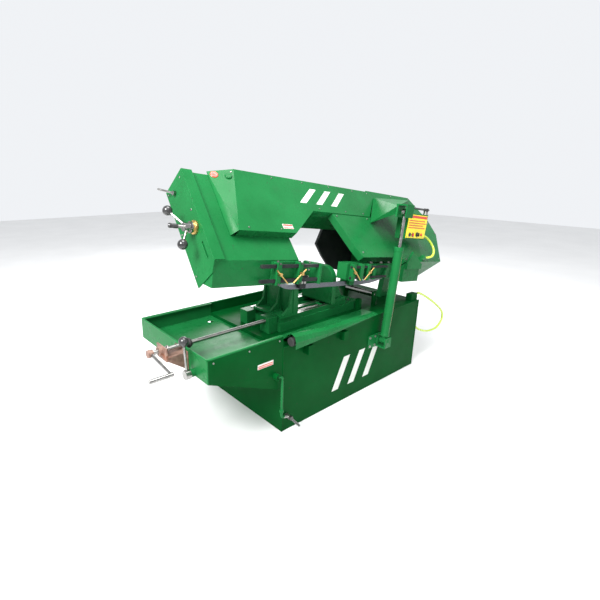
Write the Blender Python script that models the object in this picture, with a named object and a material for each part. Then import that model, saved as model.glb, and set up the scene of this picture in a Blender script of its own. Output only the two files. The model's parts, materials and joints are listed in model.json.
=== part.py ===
"""Hinged-bow horizontal band saw: cabinet, coolant tray, vice, swinging bow with two blade wheels."""
import math

import bmesh
import bpy
from mathutils import Euler, Matrix, Vector

# Driving sizes, in metres.
BASE_X = 1.35
BASE_Y = 0.72
BASE_Z = 0.52
SHEET = 0.008
TRAY_X = 0.472
TRAY_TOP = 0.587
TRAY_FLOOR = 0.50
RAIL_TOP = 0.605
BED_TOP = 0.575
SCREW_Y = 0.23
SCREW_Z = 0.590
SCREW_R = 0.0115
LEVER_Y = 0.12
LEVER_Z = 0.484
PIVOT_X = 1.25
PIVOT_Z = 0.68
BOW_REST_DEG = 7.1
CASE_TILT_DEG = -42.0
CASE_ORIGIN_Y = 0.07
CASE_ORIGIN_Z = 0.149
CASE_DEPTH = 0.178
CASE_TOP = 0.525
WHEEL_R = 0.235
WHEEL_MID_Y = 0.10
WHEEL_Z = 0.21
IDLER_X = -1.38
DRIVE_X = 0.17
BLADE_R = 0.2364
BLADE_THICK = 0.0012
BLADE_WIDE = 0.027
GUIDE_Y = 0.125
GUIDE_Z = -0.0155
CYLINDER_Y = -0.04
GAP = 0.0005
ROUND = 24

for old in list(bpy.data.objects):
    bpy.data.objects.remove(old, do_unlink=True)

SCENE = bpy.context.scene.collection


def material(name, color, metallic, roughness):
    mat = bpy.data.materials.new(name)
    mat.use_nodes = True
    shader = mat.node_tree.nodes["Principled BSDF"]
    shader.inputs["Base Color"].default_value = (*color, 1.0)
    shader.inputs["Metallic"].default_value = metallic
    shader.inputs["Roughness"].default_value = roughness
    return mat


GREEN = material("green_paint", (0.02, 0.28, 0.08), 0.0, 0.35)
BLACK = material("black_plastic", (0.02, 0.02, 0.02), 0.0, 0.4)
DARK = material("dark_paint", (0.03, 0.035, 0.035), 0.0, 0.5)
STEEL = material("bright_steel", (0.6, 0.6, 0.6), 1.0, 0.3)
CHROME = material("chrome", (0.8, 0.8, 0.8), 1.0, 0.1)
BRASS = material("brass", (0.7, 0.5, 0.2), 1.0, 0.3)
IRON = material("cast_iron", (0.1, 0.1, 0.1), 0.6, 0.6)
BROWN = material("worn_brown_paint", (0.25, 0.14, 0.1), 0.3, 0.6)
YELLOW = material("yellow_panel", (0.9, 0.8, 0.05), 0.0, 0.4)
RUBBER = material("black_rubber", (0.02, 0.02, 0.02), 0.0, 0.8)
HOSE = material("hose_plastic", (0.7, 0.85, 0.1), 0.0, 0.3)


def frame(name, location, rotation_deg, parent=None):
    empty = bpy.data.objects.new(name, None)
    SCENE.objects.link(empty)
    empty.parent = parent
    empty.location = location
    empty.rotation_euler = Euler([math.radians(a) for a in rotation_deg])
    bpy.context.view_layer.update()
    return empty


CAB = frame("cabinet_frame", (-BASE_X / 2, -BASE_Y / 2, 0), (0, 0, 0))
BOW = frame("bow_frame", (PIVOT_X, 0, PIVOT_Z), (0, BOW_REST_DEG, 0), CAB)
CASE = frame("case_frame", (0, CASE_ORIGIN_Y, CASE_ORIGIN_Z), (CASE_TILT_DEG, 0, 0), BOW)


def box(low, high):
    bm = bmesh.new()
    bmesh.ops.create_cube(bm, size=1.0)
    size = [h - l for l, h in zip(low, high)]
    centre = [(h + l) / 2 for l, h in zip(low, high)]
    bmesh.ops.transform(bm, matrix=Matrix.Translation(centre) @ Matrix.Diagonal((*size, 1)), verts=bm.verts)
    return bm


def prism(points, axis, low, high):
    """Polygon of 2-D points, drawn out along the axis: x takes (y, z), y takes (x, z), z takes (x, y)."""
    place = {
        "x": lambda a, b, c: (c, a, b),
        "y": lambda a, b, c: (a, c, b),
        "z": lambda a, b, c: (a, b, c),
    }[axis]
    bm = bmesh.new()
    first = [bm.verts.new(place(a, b, low)) for a, b in points]
    last = [bm.verts.new(place(a, b, high)) for a, b in points]
    bm.faces.new(first)
    bm.faces.new(last)
    for i in range(len(points)):
        j = (i + 1) % len(points)
        bm.faces.new((first[i], first[j], last[j], last[i]))
    bmesh.ops.recalc_face_normals(bm, faces=bm.faces)
    return bm


def turn_to(start, end):
    """Matrix that puts +Z on the line from start to end."""
    direction = Vector(end) - Vector(start)
    return Matrix.Translation(start) @ direction.to_track_quat("Z", "Y").to_matrix().to_4x4()


def rod(start, end, radius, sides=ROUND):
    length = (Vector(end) - Vector(start)).length
    bm = bmesh.new()
    bmesh.ops.create_cone(bm, cap_ends=True, segments=sides, radius1=radius, radius2=radius, depth=length)
    bmesh.ops.transform(bm, matrix=turn_to(start, end) @ Matrix.Translation((0, 0, length / 2)), verts=bm.verts)
    return bm


def lathe(profile, start, end, sides=ROUND):
    """Closed (radius, height) profile turned about the line from start to end."""
    bm = bmesh.new()
    rings = []
    for k in range(sides):
        a = 2 * math.pi * k / sides
        rings.append([bm.verts.new((r * math.cos(a), r * math.sin(a), h)) for r, h in profile])
    count = len(profile)
    for k in range(sides):
        here = rings[k]
        there = rings[(k + 1) % sides]
        for i in range(count):
            j = (i + 1) % count
            bm.faces.new((here[i], here[j], there[j], there[i]))
    bmesh.ops.transform(bm, matrix=turn_to(start, end), verts=bm.verts)
    bmesh.ops.recalc_face_normals(bm, faces=bm.faces)
    return bm


def ball(centre, radius):
    bm = bmesh.new()
    bmesh.ops.create_uvsphere(bm, u_segments=12, v_segments=8, radius=radius)
    bmesh.ops.translate(bm, vec=centre, verts=bm.verts)
    return bm


def hull(points):
    bm = bmesh.new()
    for point in points:
        bm.verts.new(point)
    bmesh.ops.convex_hull(bm, input=bm.verts)
    return bm


def new_object(name, bm, mat, parent, origin):
    mesh = bpy.data.meshes.new(name)
    bmesh.ops.translate(bm, vec=-Vector(origin), verts=bm.verts)
    bm.to_mesh(mesh)
    bm.free()
    obj = bpy.data.objects.new(name, mesh)
    SCENE.objects.link(obj)
    obj.parent = parent
    obj.location = origin
    if mat:
        obj.data.materials.append(mat)
    return obj


def helper(name, bm, parent):
    obj = new_object(name, bm, None, parent, (0, 0, 0))
    obj.hide_render = True
    obj.display_type = "WIRE"
    return obj


def piece(name, mat, parent, solids, cuts=(), origin=(0, 0, 0), round_piece=False):
    """One node: the first solid, joined with the others, less the cuts."""
    obj = new_object(name, solids[0], mat, parent, origin)
    if round_piece:
        obj.data.shade_smooth()
        obj.data.set_sharp_from_angle(angle=math.radians(35))
    steps = [("UNION", bm) for bm in solids[1:]] + [("DIFFERENCE", bm) for bm in cuts]
    for i, (operation, bm) in enumerate(steps):
        other = helper(f"{name}_{operation.lower()}_{i}", bm, parent)
        step = obj.modifiers.new(f"{operation.lower()}_{i}", "BOOLEAN")
        step.operation = operation
        step.solver = "EXACT"
        step.object = other
    return obj


# ---------------------------------------------------------------- cabinet and tray
piece(
    "base_cabinet",
    GREEN,
    CAB,
    [
        box((0, 0, 0), (BASE_X, BASE_Y, BASE_Z)),
        box((0.155, -0.040, 0.445), (0.195, 0.004, 0.50)),
        box((0.465, -0.035, 0.445), (0.505, 0.004, 0.50)),
        box((0.80, 0.125, BASE_Z - 0.004), (0.83, 0.155, 0.60)),
        box((0.96, 0.128, BASE_Z - 0.004), (1.0, 0.140, 0.62)),
        box((0.96, 0.376, BASE_Z - 0.004), (1.0, 0.388, 0.62)),
        box((1.27, 0.012, BASE_Z - 0.004), (BASE_X - 0.0045, 0.058, 0.572)),
        box((0.001, BASE_Y - 0.0065, BASE_Z - 0.004), (1.16, BASE_Y - 0.0005, TRAY_TOP)),
    ],
    [
        box((SHEET, SHEET, SHEET), (BASE_X - SHEET, BASE_Y - SHEET, BASE_Z - SHEET)),
        box((0.30, BASE_Y - 0.02, 0.08), (1.05, BASE_Y + 0.02, 0.44)),
        rod((0.98, 0.118, 0.60), (0.98, 0.150, 0.60), 0.0065, 16),
        rod((0.98, 0.366, 0.60), (0.98, 0.398, 0.60), 0.0065, 16),
    ],
)
DOOR_HINGE = (0.285, BASE_Y + 0.0145, 0.26)
piece(
    "rear_access_door",
    GREEN,
    CAB,
    [
        box((0.290, BASE_Y + GAP, 0.065), (1.065, BASE_Y + 0.0085, 0.455)),
        rod((DOOR_HINGE[0], DOOR_HINGE[1], 0.12), (DOOR_HINGE[0], DOOR_HINGE[1], 0.40), 0.006, 12),
        box((0.285, BASE_Y + 0.006, 0.13), (0.31, BASE_Y + 0.0145, 0.39)),
        box((1.02, BASE_Y + 0.005, 0.23), (1.035, BASE_Y + 0.035, 0.30)),
    ],
    origin=DOOR_HINGE,
)
tray_floor = box((-TRAY_X + 0.002, 0.002, TRAY_FLOOR - 0.006), (-0.001, BASE_Y - 0.002, TRAY_FLOOR))
front_apron = prism(
    [(-TRAY_X, 0.465), (-0.04, 0.285), (-GAP, 0.285), (-GAP, TRAY_TOP), (-TRAY_X, TRAY_TOP)], "y", 0, 0.006
)
rear_apron = prism(
    [(-TRAY_X, 0.465), (-GAP, 0.465), (-GAP, TRAY_TOP), (-TRAY_X, TRAY_TOP)], "y", BASE_Y - 0.006, BASE_Y
)
end_panel = box((-TRAY_X - 0.001, -0.001, 0.466), (-TRAY_X + 0.006, BASE_Y + 0.001, TRAY_TOP + 0.001))
piece(
    "coolant_tray",
    GREEN,
    CAB,
    [
        tray_floor,
        front_apron,
        rear_apron,
        end_panel,
        box((-TRAY_X + 0.001, 0.001, TRAY_TOP - 0.006), (-0.001, 0.022, TRAY_TOP + 0.001)),
        box((-TRAY_X + 0.001, BASE_Y - 0.022, TRAY_TOP - 0.006), (-0.001, BASE_Y - 0.001, TRAY_TOP + 0.001)),
        rod((-0.055, -0.03, 0.372), (-0.055, 0.005, 0.372), 0.018),
        rod((-TRAY_X + 0.003, LEVER_Y, LEVER_Z), (-0.499, LEVER_Y, LEVER_Z), 0.020, 12),
    ],
    [
        rod((-TRAY_X - 0.02, SCREW_Y, SCREW_Z), (-TRAY_X + 0.02, SCREW_Y, SCREW_Z), 0.016),
        rod((-0.06, 0.62, 0.48), (-0.06, 0.62, 0.52), 0.022),
        rod((-0.055, -0.04, 0.372), (-0.055, 0.01, 0.372), 0.009, 12),
    ],
)
bracket_far = -0.585
piece(
    "screw_bracket",
    BROWN,
    CAB,
    [
        box((-0.4785, 0.17, 0.47), (-TRAY_X - 0.0015, 0.30, 0.575)),
        box((bracket_far, 0.18, 0.562), (-0.476, 0.28, 0.570)),
        box((bracket_far, 0.18, 0.545), (bracket_far + 0.008, 0.28, 0.615)),
        prism([
            (-0.477, 0.475), (-0.477, 0.565), (bracket_far + 0.004, 0.565),
            (bracket_far + 0.004, 0.548),
        ], "y", 0.182, 0.188),
        prism([
            (-0.477, 0.475), (-0.477, 0.565), (bracket_far + 0.004, 0.565),
            (bracket_far + 0.004, 0.548),
        ], "y", 0.272, 0.278),
        rod((bracket_far - 0.018, SCREW_Y, SCREW_Z), (bracket_far + 0.004, SCREW_Y, SCREW_Z), 0.024),
    ],
    [rod((bracket_far - 0.03, SCREW_Y, SCREW_Z), (bracket_far + 0.03, SCREW_Y, SCREW_Z), SCREW_R + GAP)],
)
piece(
    "screw_boot",
    RUBBER,
    CAB,
    [
        lathe(
            [
                (0.0125, 0), (0.024, 0), (0.027, 0.008), (0.022, 0.018), (0.026, 0.028),
                (0.02, 0.04), (0.0125, 0.04),
            ],
            (-0.465, SCREW_Y, SCREW_Z),
            (-0.425, SCREW_Y, SCREW_Z),
        )
    ],
    round_piece=True,
)
piece(
    "ball_lever",
    CHROME,
    CAB,
    [
        rod((-0.4995, LEVER_Y, LEVER_Z), (-0.527, LEVER_Y, LEVER_Z), 0.024),
        rod((-0.513, LEVER_Y, LEVER_Z), (-0.513, LEVER_Y + 0.018, 0.64), 0.0065, 12),
        ball((-0.513, LEVER_Y + 0.019, 0.648), 0.024),
    ],
    origin=(-0.513, LEVER_Y, LEVER_Z),
    round_piece=True,
)

# ---------------------------------------------------------------- vice
WAYS = ((0.175, 0.205), (0.255, 0.285), (0.40, 0.46))
piece(
    "vice_bed",
    IRON,
    CAB,
    [
        box((0.1255, 0.165, BASE_Z + GAP), (0.86, 0.50, BED_TOP)),
        *[box((0.13, low, BED_TOP - 0.004), (0.72, high, RAIL_TOP)) for low, high in WAYS],
        box((0.5055, 0.204, BED_TOP - 0.004), (0.53, 0.256, RAIL_TOP - 0.002)),
        box((0.06, 0.395, BASE_Z + GAP), (0.128, 0.465, 0.604)),
    ],
    [
        box((0.14, 0.206, BED_TOP - 0.03), (0.50, 0.254, BED_TOP + 0.02)),
        *[
            box((0.12, (low + high) / 2 - 0.003, RAIL_TOP - 0.008), (0.73, (low + high) / 2 + 0.003, RAIL_TOP + 0.01))
            for low, high in WAYS
        ],
    ],
)
piece(
    "rail_block_front",
    GREEN,
    CAB,
    [box((0.06, 0.19, BASE_Z + GAP), (0.125, 0.27, 0.616))],
    [rod((0.04, SCREW_Y, SCREW_Z), (0.14, SCREW_Y, SCREW_Z), SCREW_R + GAP)],
)
fixed_profile = [(0.155, RAIL_TOP + GAP), (0.155, 0.77)]
for step in range(1, 7):
    angle = math.pi / 2 * step / 6
    fixed_profile.append((0.155 + 0.08 * (1 - math.cos(angle)), 0.77 + 0.08 * math.sin(angle)))
fixed_profile += [(0.42, 0.85), (0.42, RAIL_TOP + GAP)]
piece(
    "fixed_jaw",
    GREEN,
    CAB,
    [
        prism(fixed_profile, "x", 0.552, 0.59),
        box((0.56, 0.17, RAIL_TOP + GAP), (0.71, 0.42, 0.63)),
        prism([(0.58, 0.62), (0.70, 0.62), (0.60, 0.80), (0.58, 0.80)], "y", 0.19, 0.205),
        prism([(0.58, 0.62), (0.70, 0.62), (0.60, 0.80), (0.58, 0.80)], "y", 0.38, 0.395),
    ],
)
piece("fixed_jaw_face", STEEL, CAB, [box((0.545, 0.165, 0.615), (0.552 - GAP, 0.41, 0.755))])
jaw_rib = [(0.145, 0.607), (0.24, 0.607), (0.24, 0.775), (0.215, 0.775), (0.195, 0.66), (0.145, 0.622)]
piece(
    "moving_jaw",
    GREEN,
    CAB,
    [
        box((0.222, 0.16, RAIL_TOP + GAP), (0.258, 0.42, 0.785)),
        box((0.128, 0.16, RAIL_TOP + GAP), (0.23, 0.42, 0.618)),
        prism(jaw_rib, "y", 0.165, 0.18),
        prism(jaw_rib, "y", 0.27, 0.285),
        prism(jaw_rib, "y", 0.40, 0.415),
        box((0.142, 0.211, 0.568), (0.20, 0.249, 0.612)),
    ],
    [rod((0.12, SCREW_Y, SCREW_Z), (0.22, SCREW_Y, SCREW_Z), SCREW_R + GAP)],
)
piece("moving_jaw_face", STEEL, CAB, [box((0.258 + GAP, 0.165, 0.615), (0.265, 0.41, 0.755))])
piece(
    "lead_screw",
    STEEL,
    CAB,
    [
        rod((-0.630, SCREW_Y, SCREW_Z), (0.505, SCREW_Y, SCREW_Z), SCREW_R),
        rod((-0.5585, SCREW_Y, SCREW_Z), (-0.5505, SCREW_Y, SCREW_Z), 0.018),
    ],
    origin=(-0.62, SCREW_Y, SCREW_Z),
    round_piece=True,
)
crank_x = -0.640
piece(
    "crank_handle",
    CHROME,
    CAB,
    [
        rod((-0.6305, SCREW_Y, SCREW_Z), (-0.657, SCREW_Y, SCREW_Z), 0.019),
        rod((crank_x, 0.255, 0.593), (crank_x, 0.015, 0.567), 0.0085, 12),
        rod((crank_x + 0.008, 0.02, 0.5675), (-0.745, 0.02, 0.5675), 0.0105, 16),
    ],
    origin=(-0.62, SCREW_Y, SCREW_Z),
    round_piece=True,
)


# ---------------------------------------------------------------- chute, cylinder mount, drain, roller
def sheet(sections, thickness):
    """Bent sheet through (x, [(y, z), ...]) sections, thickened downwards."""
    bm = bmesh.new()
    top = []
    under = []
    for x, line in sections:
        upper_row = []
        lower_row = []
        for i, (y, z) in enumerate(line):
            before = line[max(i - 1, 0)]
            after = line[min(i + 1, len(line) - 1)]
            run = Vector((after[0] - before[0], after[1] - before[1])).normalized()
            upper_row.append(bm.verts.new((x, y, z)))
            lower_row.append(bm.verts.new((x, y - run.y * thickness, z + run.x * thickness)))
        top.append(upper_row)
        under.append(lower_row)
    last = len(sections) - 1
    width = len(sections[0][1]) - 1
    for i in range(last):
        for j in range(width):
            bm.faces.new((top[i][j], top[i + 1][j], top[i + 1][j + 1], top[i][j + 1]))
            bm.faces.new((under[i][j], under[i][j + 1], under[i + 1][j + 1], under[i + 1][j]))
        for j in (0, width):
            bm.faces.new((top[i][j], under[i][j], under[i + 1][j], top[i + 1][j]))
    for i in (0, last):
        for j in range(width):
            bm.faces.new((top[i][j], top[i][j + 1], under[i][j + 1], under[i][j]))
    bmesh.ops.recalc_face_normals(bm, faces=bm.faces)
    return bm


chute_left = [
    (0.118, 0.532), (0.07, 0.535), (0.03, 0.556), (0.005, 0.588), (-0.025, 0.600), (-0.052, 0.588),
    (-0.062, 0.56), (-0.060, 0.52),
]
chute_middle = [
    (0.118, 0.530), (0.07, 0.532), (0.035, 0.545), (0.01, 0.562), (-0.015, 0.567), (-0.038, 0.558),
    (-0.046, 0.54), (-0.045, 0.52),
]
chute_right = [
    (0.118, 0.528), (0.09, 0.529), (0.06, 0.531), (0.04, 0.533), (0.025, 0.534), (0.01, 0.533),
    (0.0, 0.531), (-0.012, 0.528),
]
piece(
    "offcut_chute",
    GREEN,
    CAB,
    [sheet([(0.035, chute_left), (0.30, chute_middle), (0.83, chute_right)], 0.003)],
)
piece("chute_roller", RUBBER, CAB, [rod((0.028, -0.024, 0.553), (0.10, -0.024, 0.553), 0.024)], round_piece=True)
LOW_PIN = (0.88, CYLINDER_Y, 0.34)
piece(
    "cylinder_clevis",
    GREEN,
    CAB,
    [
        box((0.76, -0.006, 0.295), (0.92, -GAP, 0.385)),
        box((0.845, -0.075, 0.295), (0.915, -0.003, 0.303)),
        box((0.845, -0.075, 0.297), (0.915, -0.067, 0.362)),
        box((0.845, -0.013, 0.297), (0.915, -0.003, 0.362)),
        rod((LOW_PIN[0], -0.079, LOW_PIN[2]), (LOW_PIN[0], -0.002, LOW_PIN[2]), 0.009, 16),
    ],
)
piece(
    "drain_cock",
    STEEL,
    CAB,
    [
        rod((0.03, -GAP, 0.10), (0.03, -0.035, 0.10), 0.012, 16),
        rod((0.03, -0.022, 0.10), (-0.004, -0.022, 0.112), 0.008, 12),
    ],
)
piece(
    "drain_lever",
    BLACK,
    CAB,
    [
        rod((0.03, -0.0355, 0.10), (0.03, -0.05, 0.10), 0.012, 16),
        rod((0.03, -0.043, 0.10), (0.098, -0.043, 0.022), 0.007, 12),
    ],
    origin=(0.03, -0.043, 0.10),
    round_piece=True,
)
piece(
    "coolant_fitting",
    BLACK,
    CAB,
    [rod((BASE_X + GAP, 0.04, 0.29), (BASE_X + 0.03, 0.04, 0.29), 0.013, 16)],
)
piece(
    "outfeed_roller",
    CHROME,
    CAB,
    [
        rod((0.98, 0.1425, 0.60), (0.98, 0.3735, 0.60), 0.019),
        rod((0.98, 0.130, 0.60), (0.98, 0.386, 0.60), 0.006, 16),
    ],
    origin=(0.98, 0.258, 0.60),
    round_piece=True,
)


def pedestal(y_low, y_high):
    outline = [(PIVOT_X - 0.07, BASE_Z + GAP), (PIVOT_X + 0.07, BASE_Z + GAP)]
    for step in range(9):
        angle = math.pi * step / 8
        outline.append((PIVOT_X + 0.035 * math.cos(angle), PIVOT_Z + 0.035 * math.sin(angle)))
    return prism(outline, "y", y_low, y_high)


for pedestal_name, pedestal_y in (("pivot_pedestal_front", 0.215), ("pivot_pedestal_rear", 0.576)):
    piece(
        pedestal_name,
        GREEN,
        CAB,
        [pedestal(pedestal_y, pedestal_y + 0.04)],
        [rod((PIVOT_X, pedestal_y - 0.01, PIVOT_Z), (PIVOT_X, pedestal_y + 0.05, PIVOT_Z), 0.0165)],
    )
piece("pivot_shaft", STEEL, CAB, [rod((PIVOT_X, 0.21, PIVOT_Z), (PIVOT_X, 0.622, PIVOT_Z), 0.016)], round_piece=True)


# ---------------------------------------------------------------- bow: cases, beam, cover
def section(inset):
    """Cross-section of the idler case in (y, z) of the case frame, with a chin that holds the lower blade run."""
    low = -0.097 + inset * 1.414
    return [
        (inset, CASE_TOP - inset),
        (inset, -0.001 + inset * 0.4),
        (0.087, low),
        (CASE_DEPTH - inset, -0.005 + inset * 0.4),
        (CASE_DEPTH - inset, CASE_TOP - inset),
    ]


case_left = -1.658
case_right = -1.114
idler_shell = prism(section(0), "x", case_left, case_right)
idler_case = piece(
    "idler_case",
    GREEN,
    CASE,
    [idler_shell],
    [
        prism(section(0.006), "x", case_left + 0.006, case_right - 0.006),
        box((case_left + 0.03, CASE_DEPTH - 0.02, 0.03), (case_right - 0.03, CASE_DEPTH + 0.02, 0.495)),
        box((case_right - 0.02, 0.05, WHEEL_Z + 0.18), (case_right + 0.02, 0.15, WHEEL_Z + 0.26)),
        box((case_right - 0.16, 0.085, -0.12), (case_right + 0.02, 0.17, -0.005)),
        box((case_left - 0.02, 0.025, WHEEL_Z - 0.02), (case_left + 0.02, 0.055, WHEEL_Z + 0.02)),
    ],
)
for guide_name, guide_z in (("carriage_guide_low", WHEEL_Z - 0.075), ("carriage_guide_high", WHEEL_Z + 0.051)):
    guide = helper(guide_name, box((IDLER_X - 0.12, 0.003, guide_z), (IDLER_X + 0.10, 0.04, guide_z + 0.024)), CASE)
    join = idler_case.modifiers.new(guide_name, "BOOLEAN")
    join.operation = "UNION"
    join.solver = "EXACT"
    join.object = guide
piece(
    "idler_end_cover",
    GREEN,
    CASE,
    [
        box((case_left - 0.0065, -0.0125, -0.045), (case_left - GAP, CASE_DEPTH + 0.001, CASE_TOP + 0.0065)),
        box((case_left - 0.0065, -0.0125, -0.002), (case_left + 0.055, -GAP, CASE_TOP + 0.0065)),
        box((case_left - 0.0065, -0.0125, CASE_TOP + GAP), (case_left + 0.055, CASE_DEPTH + 0.001, CASE_TOP + 0.0065)),
    ],
    [
        rod((case_left - 0.02, 0.04, WHEEL_Z), (case_left + 0.02, 0.04, WHEEL_Z), 0.012),
        prism([(-0.02, -0.05), (-0.02, 0.0), (0.10, -0.10)], "x", case_left - 0.02, case_left - GAP / 2),
        box((case_left - 0.02, 0.02, 0.03), (case_left - GAP / 2, 0.032, 0.12)),
    ],
)
piece(
    "rear_wheel_door",
    GREEN,
    CASE,
    [
        box((case_left + 0.018, CASE_DEPTH + GAP, 0.018), (case_right - 0.018, CASE_DEPTH + 0.0055, 0.51)),
        rod((case_left + 0.03, CASE_DEPTH + 0.008, 0.512), (case_right - 0.03, CASE_DEPTH + 0.008, 0.512), 0.0055, 12),
        box((-1.40, CASE_DEPTH + 0.004, 0.04), (-1.37, CASE_DEPTH + 0.03, 0.05)),
    ],
    origin=(-1.386, CASE_DEPTH + 0.008, 0.512),
)
beam_left = case_right + GAP
beam_right = -0.16 - GAP
piece(
    "beam_tube",
    GREEN,
    CASE,
    [box((beam_left, 0.012, 0.345), (beam_right, 0.165, 0.51))],
    [box((beam_left - 0.02, 0.018, 0.351), (beam_right + 0.02, 0.159, 0.504))],
)
COVER_FRONT = -0.05
COVER_BACK = -0.0465
fold_top = -1.36
fold_low = -1.488
edge_top = -1.505
edge_low = -1.512
cover_outline = [
    (fold_top, 0.545), (-0.12, 0.545), (-0.12, 0.495), (-0.30, 0.31), (-0.866, 0.31),
    (-1.096, 0.14), (fold_low, 0.14),
]
cover_return = [
    (-0.302, 0.31), (-0.302, 0.3135), (-0.867, 0.3135), (-1.097, 0.1435), (fold_low + 0.005, 0.1435),
    (fold_low + 0.005, 0.14), (-1.096, 0.14), (-0.866, 0.31),
]
piece(
    "beam_cover",
    GREEN,
    CASE,
    [
        prism(cover_outline, "y", COVER_FRONT, COVER_BACK),
        hull(
            [
                (fold_top, COVER_FRONT, 0.545),
                (fold_top, COVER_BACK, 0.5449),
                (fold_low, COVER_FRONT, 0.14),
                (fold_low, COVER_BACK, 0.1401),
                (edge_top, -0.004, 0.545),
                (edge_top, -GAP, 0.5449),
                (edge_low, -0.004, 0.14),
                (edge_low, -GAP, 0.1401),
            ]
        ),
        box((fold_top - 0.005, COVER_FRONT, 0.5415), (-0.162, -GAP, 0.545)),
        prism(cover_return, "y", COVER_FRONT, -GAP),
    ],
)
piece(
    "drive_case",
    GREEN,
    CASE,
    [
        prism([
            (-0.16, 0.56), (0.42, 0.56), (0.53, 0.34), (0.53, 0.20), (0.34, -0.055),
            (-0.16, -0.055),
        ], "y", -0.0455, CASE_DEPTH),
        box((0.062, -0.075, -0.046), (0.0903, -0.043, -0.014)),
    ],
    [
        prism([
            (-0.154, 0.554), (0.4163, 0.554), (0.524, 0.338), (0.524, 0.202), (0.337, -0.049),
            (-0.154, -0.049),
        ], "y", -0.0395, CASE_DEPTH - 0.006),
        box((-0.18, 0.06, WHEEL_Z + 0.18), (-0.14, 0.14, WHEEL_Z + 0.26)),
        box((-0.18, 0.075, -0.07), (-0.05, 0.17, 0.02)),
        rod((DRIVE_X, CASE_DEPTH - 0.02, WHEEL_Z), (DRIVE_X, CASE_DEPTH + 0.02, WHEEL_Z), 0.022),
    ],
)
piece(
    "bow_column",
    GREEN,
    CASE,
    [
        prism([
            (-0.69, 0.3095), (-0.305, 0.3095), (-0.1605, 0.3095), (-0.1605, -0.015),
            (-0.60, -0.015), (-0.63, 0.06),
        ], "y", -0.046, -0.040),
        prism([
            (-0.69, 0.3095), (-0.684, 0.3095), (-0.624, 0.06), (-0.594, -0.015), (-0.60, -0.015),
            (-0.63, 0.06),
        ], "y", -0.046, 0.0),
    ],
)

# ---------------------------------------------------------------- bow: cylinder bracket and rear brace
TOP_PIN = (-0.335, CYLINDER_Y, 0.46)
piece(
    "cylinder_bracket",
    GREEN,
    BOW,
    [
        hull(
            [
                (-0.12, 0.3630, 0.551),
                (-0.334, 0.2044, 0.374),
                (-0.334, 0.05, 0.437),
                (-0.345, -0.004, 0.455),
                (-0.365, -0.004, 0.500),
                (-0.20, 0.03, 0.543),
                (-0.17, 0.04, 0.500),
                (-0.10, 0.2733, 0.450),
                (-0.05, 0.3597, 0.547),
            ]
        ),
        box((-0.375, -0.075, 0.502), (-0.295, 0.002, 0.511)),
        box((-0.375, -0.075, 0.430), (-0.295, -0.068, 0.506)),
        box((-0.375, -0.012, 0.430), (-0.295, 0.000, 0.506)),
        rod((TOP_PIN[0], -0.079, TOP_PIN[2]), (TOP_PIN[0], -0.004, TOP_PIN[2]), 0.006, 16),
    ],
)
brace_outline = [
    (-0.46, 0.18), (-0.40, 0.33), (-0.17, 0.40), (0.04, 0.38), (0.04, -0.03), (-0.06, -0.04),
    (-0.28, 0.0), (-0.38, 0.09),
]
piece(
    "rear_brace",
    DARK,
    BOW,
    [prism(brace_outline, "y", 0.5455, 0.568)],
    [rod((0, 0.53, 0), (0, 0.58, 0), 0.0165)],
)


def back_plane_z(y):
    """Height of the back face of the drive case at this y, in the bow frame."""
    tilt = math.radians(-CASE_TILT_DEG)
    low_y = CASE_ORIGIN_Y + CASE_DEPTH * math.cos(tilt)
    low_z = CASE_ORIGIN_Z - CASE_DEPTH * math.sin(tilt)
    return low_z + (y - low_y) / math.tan(tilt) - 0.001


web_outline = [(0.27, -0.01), (0.545, -0.01), (0.545, back_plane_z(0.545)), (0.27, back_plane_z(0.27))]
piece(
    "pivot_tube",
    GREEN,
    BOW,
    [
        rod((0, 0.262, 0), (0, 0.545, 0), 0.030),
        prism(web_outline, "x", -0.034, -0.020),
        prism(web_outline, "x", 0.020, 0.034),
    ],
    [rod((0, 0.25, 0), (0, 0.56, 0), 0.0165)],
)

# ---------------------------------------------------------------- bow: drive train
piece(
    "gearbox",
    IRON,
    CASE,
    [
        box((0.075, CASE_DEPTH + GAP, 0.115), (0.265, 0.355, 0.305)),
        rod((DRIVE_X, 0.35, WHEEL_Z), (DRIVE_X, 0.368, WHEEL_Z), 0.05),
    ],
    [rod((DRIVE_X, CASE_DEPTH - 0.01, WHEEL_Z), (DRIVE_X, 0.25, WHEEL_Z), 0.0185)],
)
piece(
    "drive_motor",
    DARK,
    CASE,
    [
        rod((0.2655, 0.27, 0.20), (0.285, 0.27, 0.20), 0.085),
        rod((0.28, 0.27, 0.20), (0.47, 0.27, 0.20), 0.075),
        rod((0.465, 0.27, 0.20), (0.52, 0.27, 0.20), 0.068),
        box((0.31, 0.225, 0.26), (0.40, 0.315, 0.295)),
    ],
)


def wheel_profile(hub_r):
    rim = 0.016
    return [
        (hub_r, -0.022),
        (0.040, -0.022),
        (0.044, -0.005),
        (WHEEL_R - 0.022, -0.005),
        (WHEEL_R - 0.018, -rim),
        (WHEEL_R, -rim),
        (WHEEL_R, rim),
        (WHEEL_R - 0.018, rim),
        (WHEEL_R - 0.022, 0.005),
        (0.044, 0.005),
        (0.040, 0.022),
        (hub_r, 0.022),
    ]


def wheel_holes(centre_x):
    holes = []
    for k in range(5):
        angle = 2 * math.pi * k / 5 + 0.3
        x = centre_x + 0.13 * math.cos(angle)
        z = WHEEL_Z + 0.13 * math.sin(angle)
        holes.append(rod((x, WHEEL_MID_Y - 0.03, z), (x, WHEEL_MID_Y + 0.03, z), 0.036, 10))
    return holes


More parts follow.
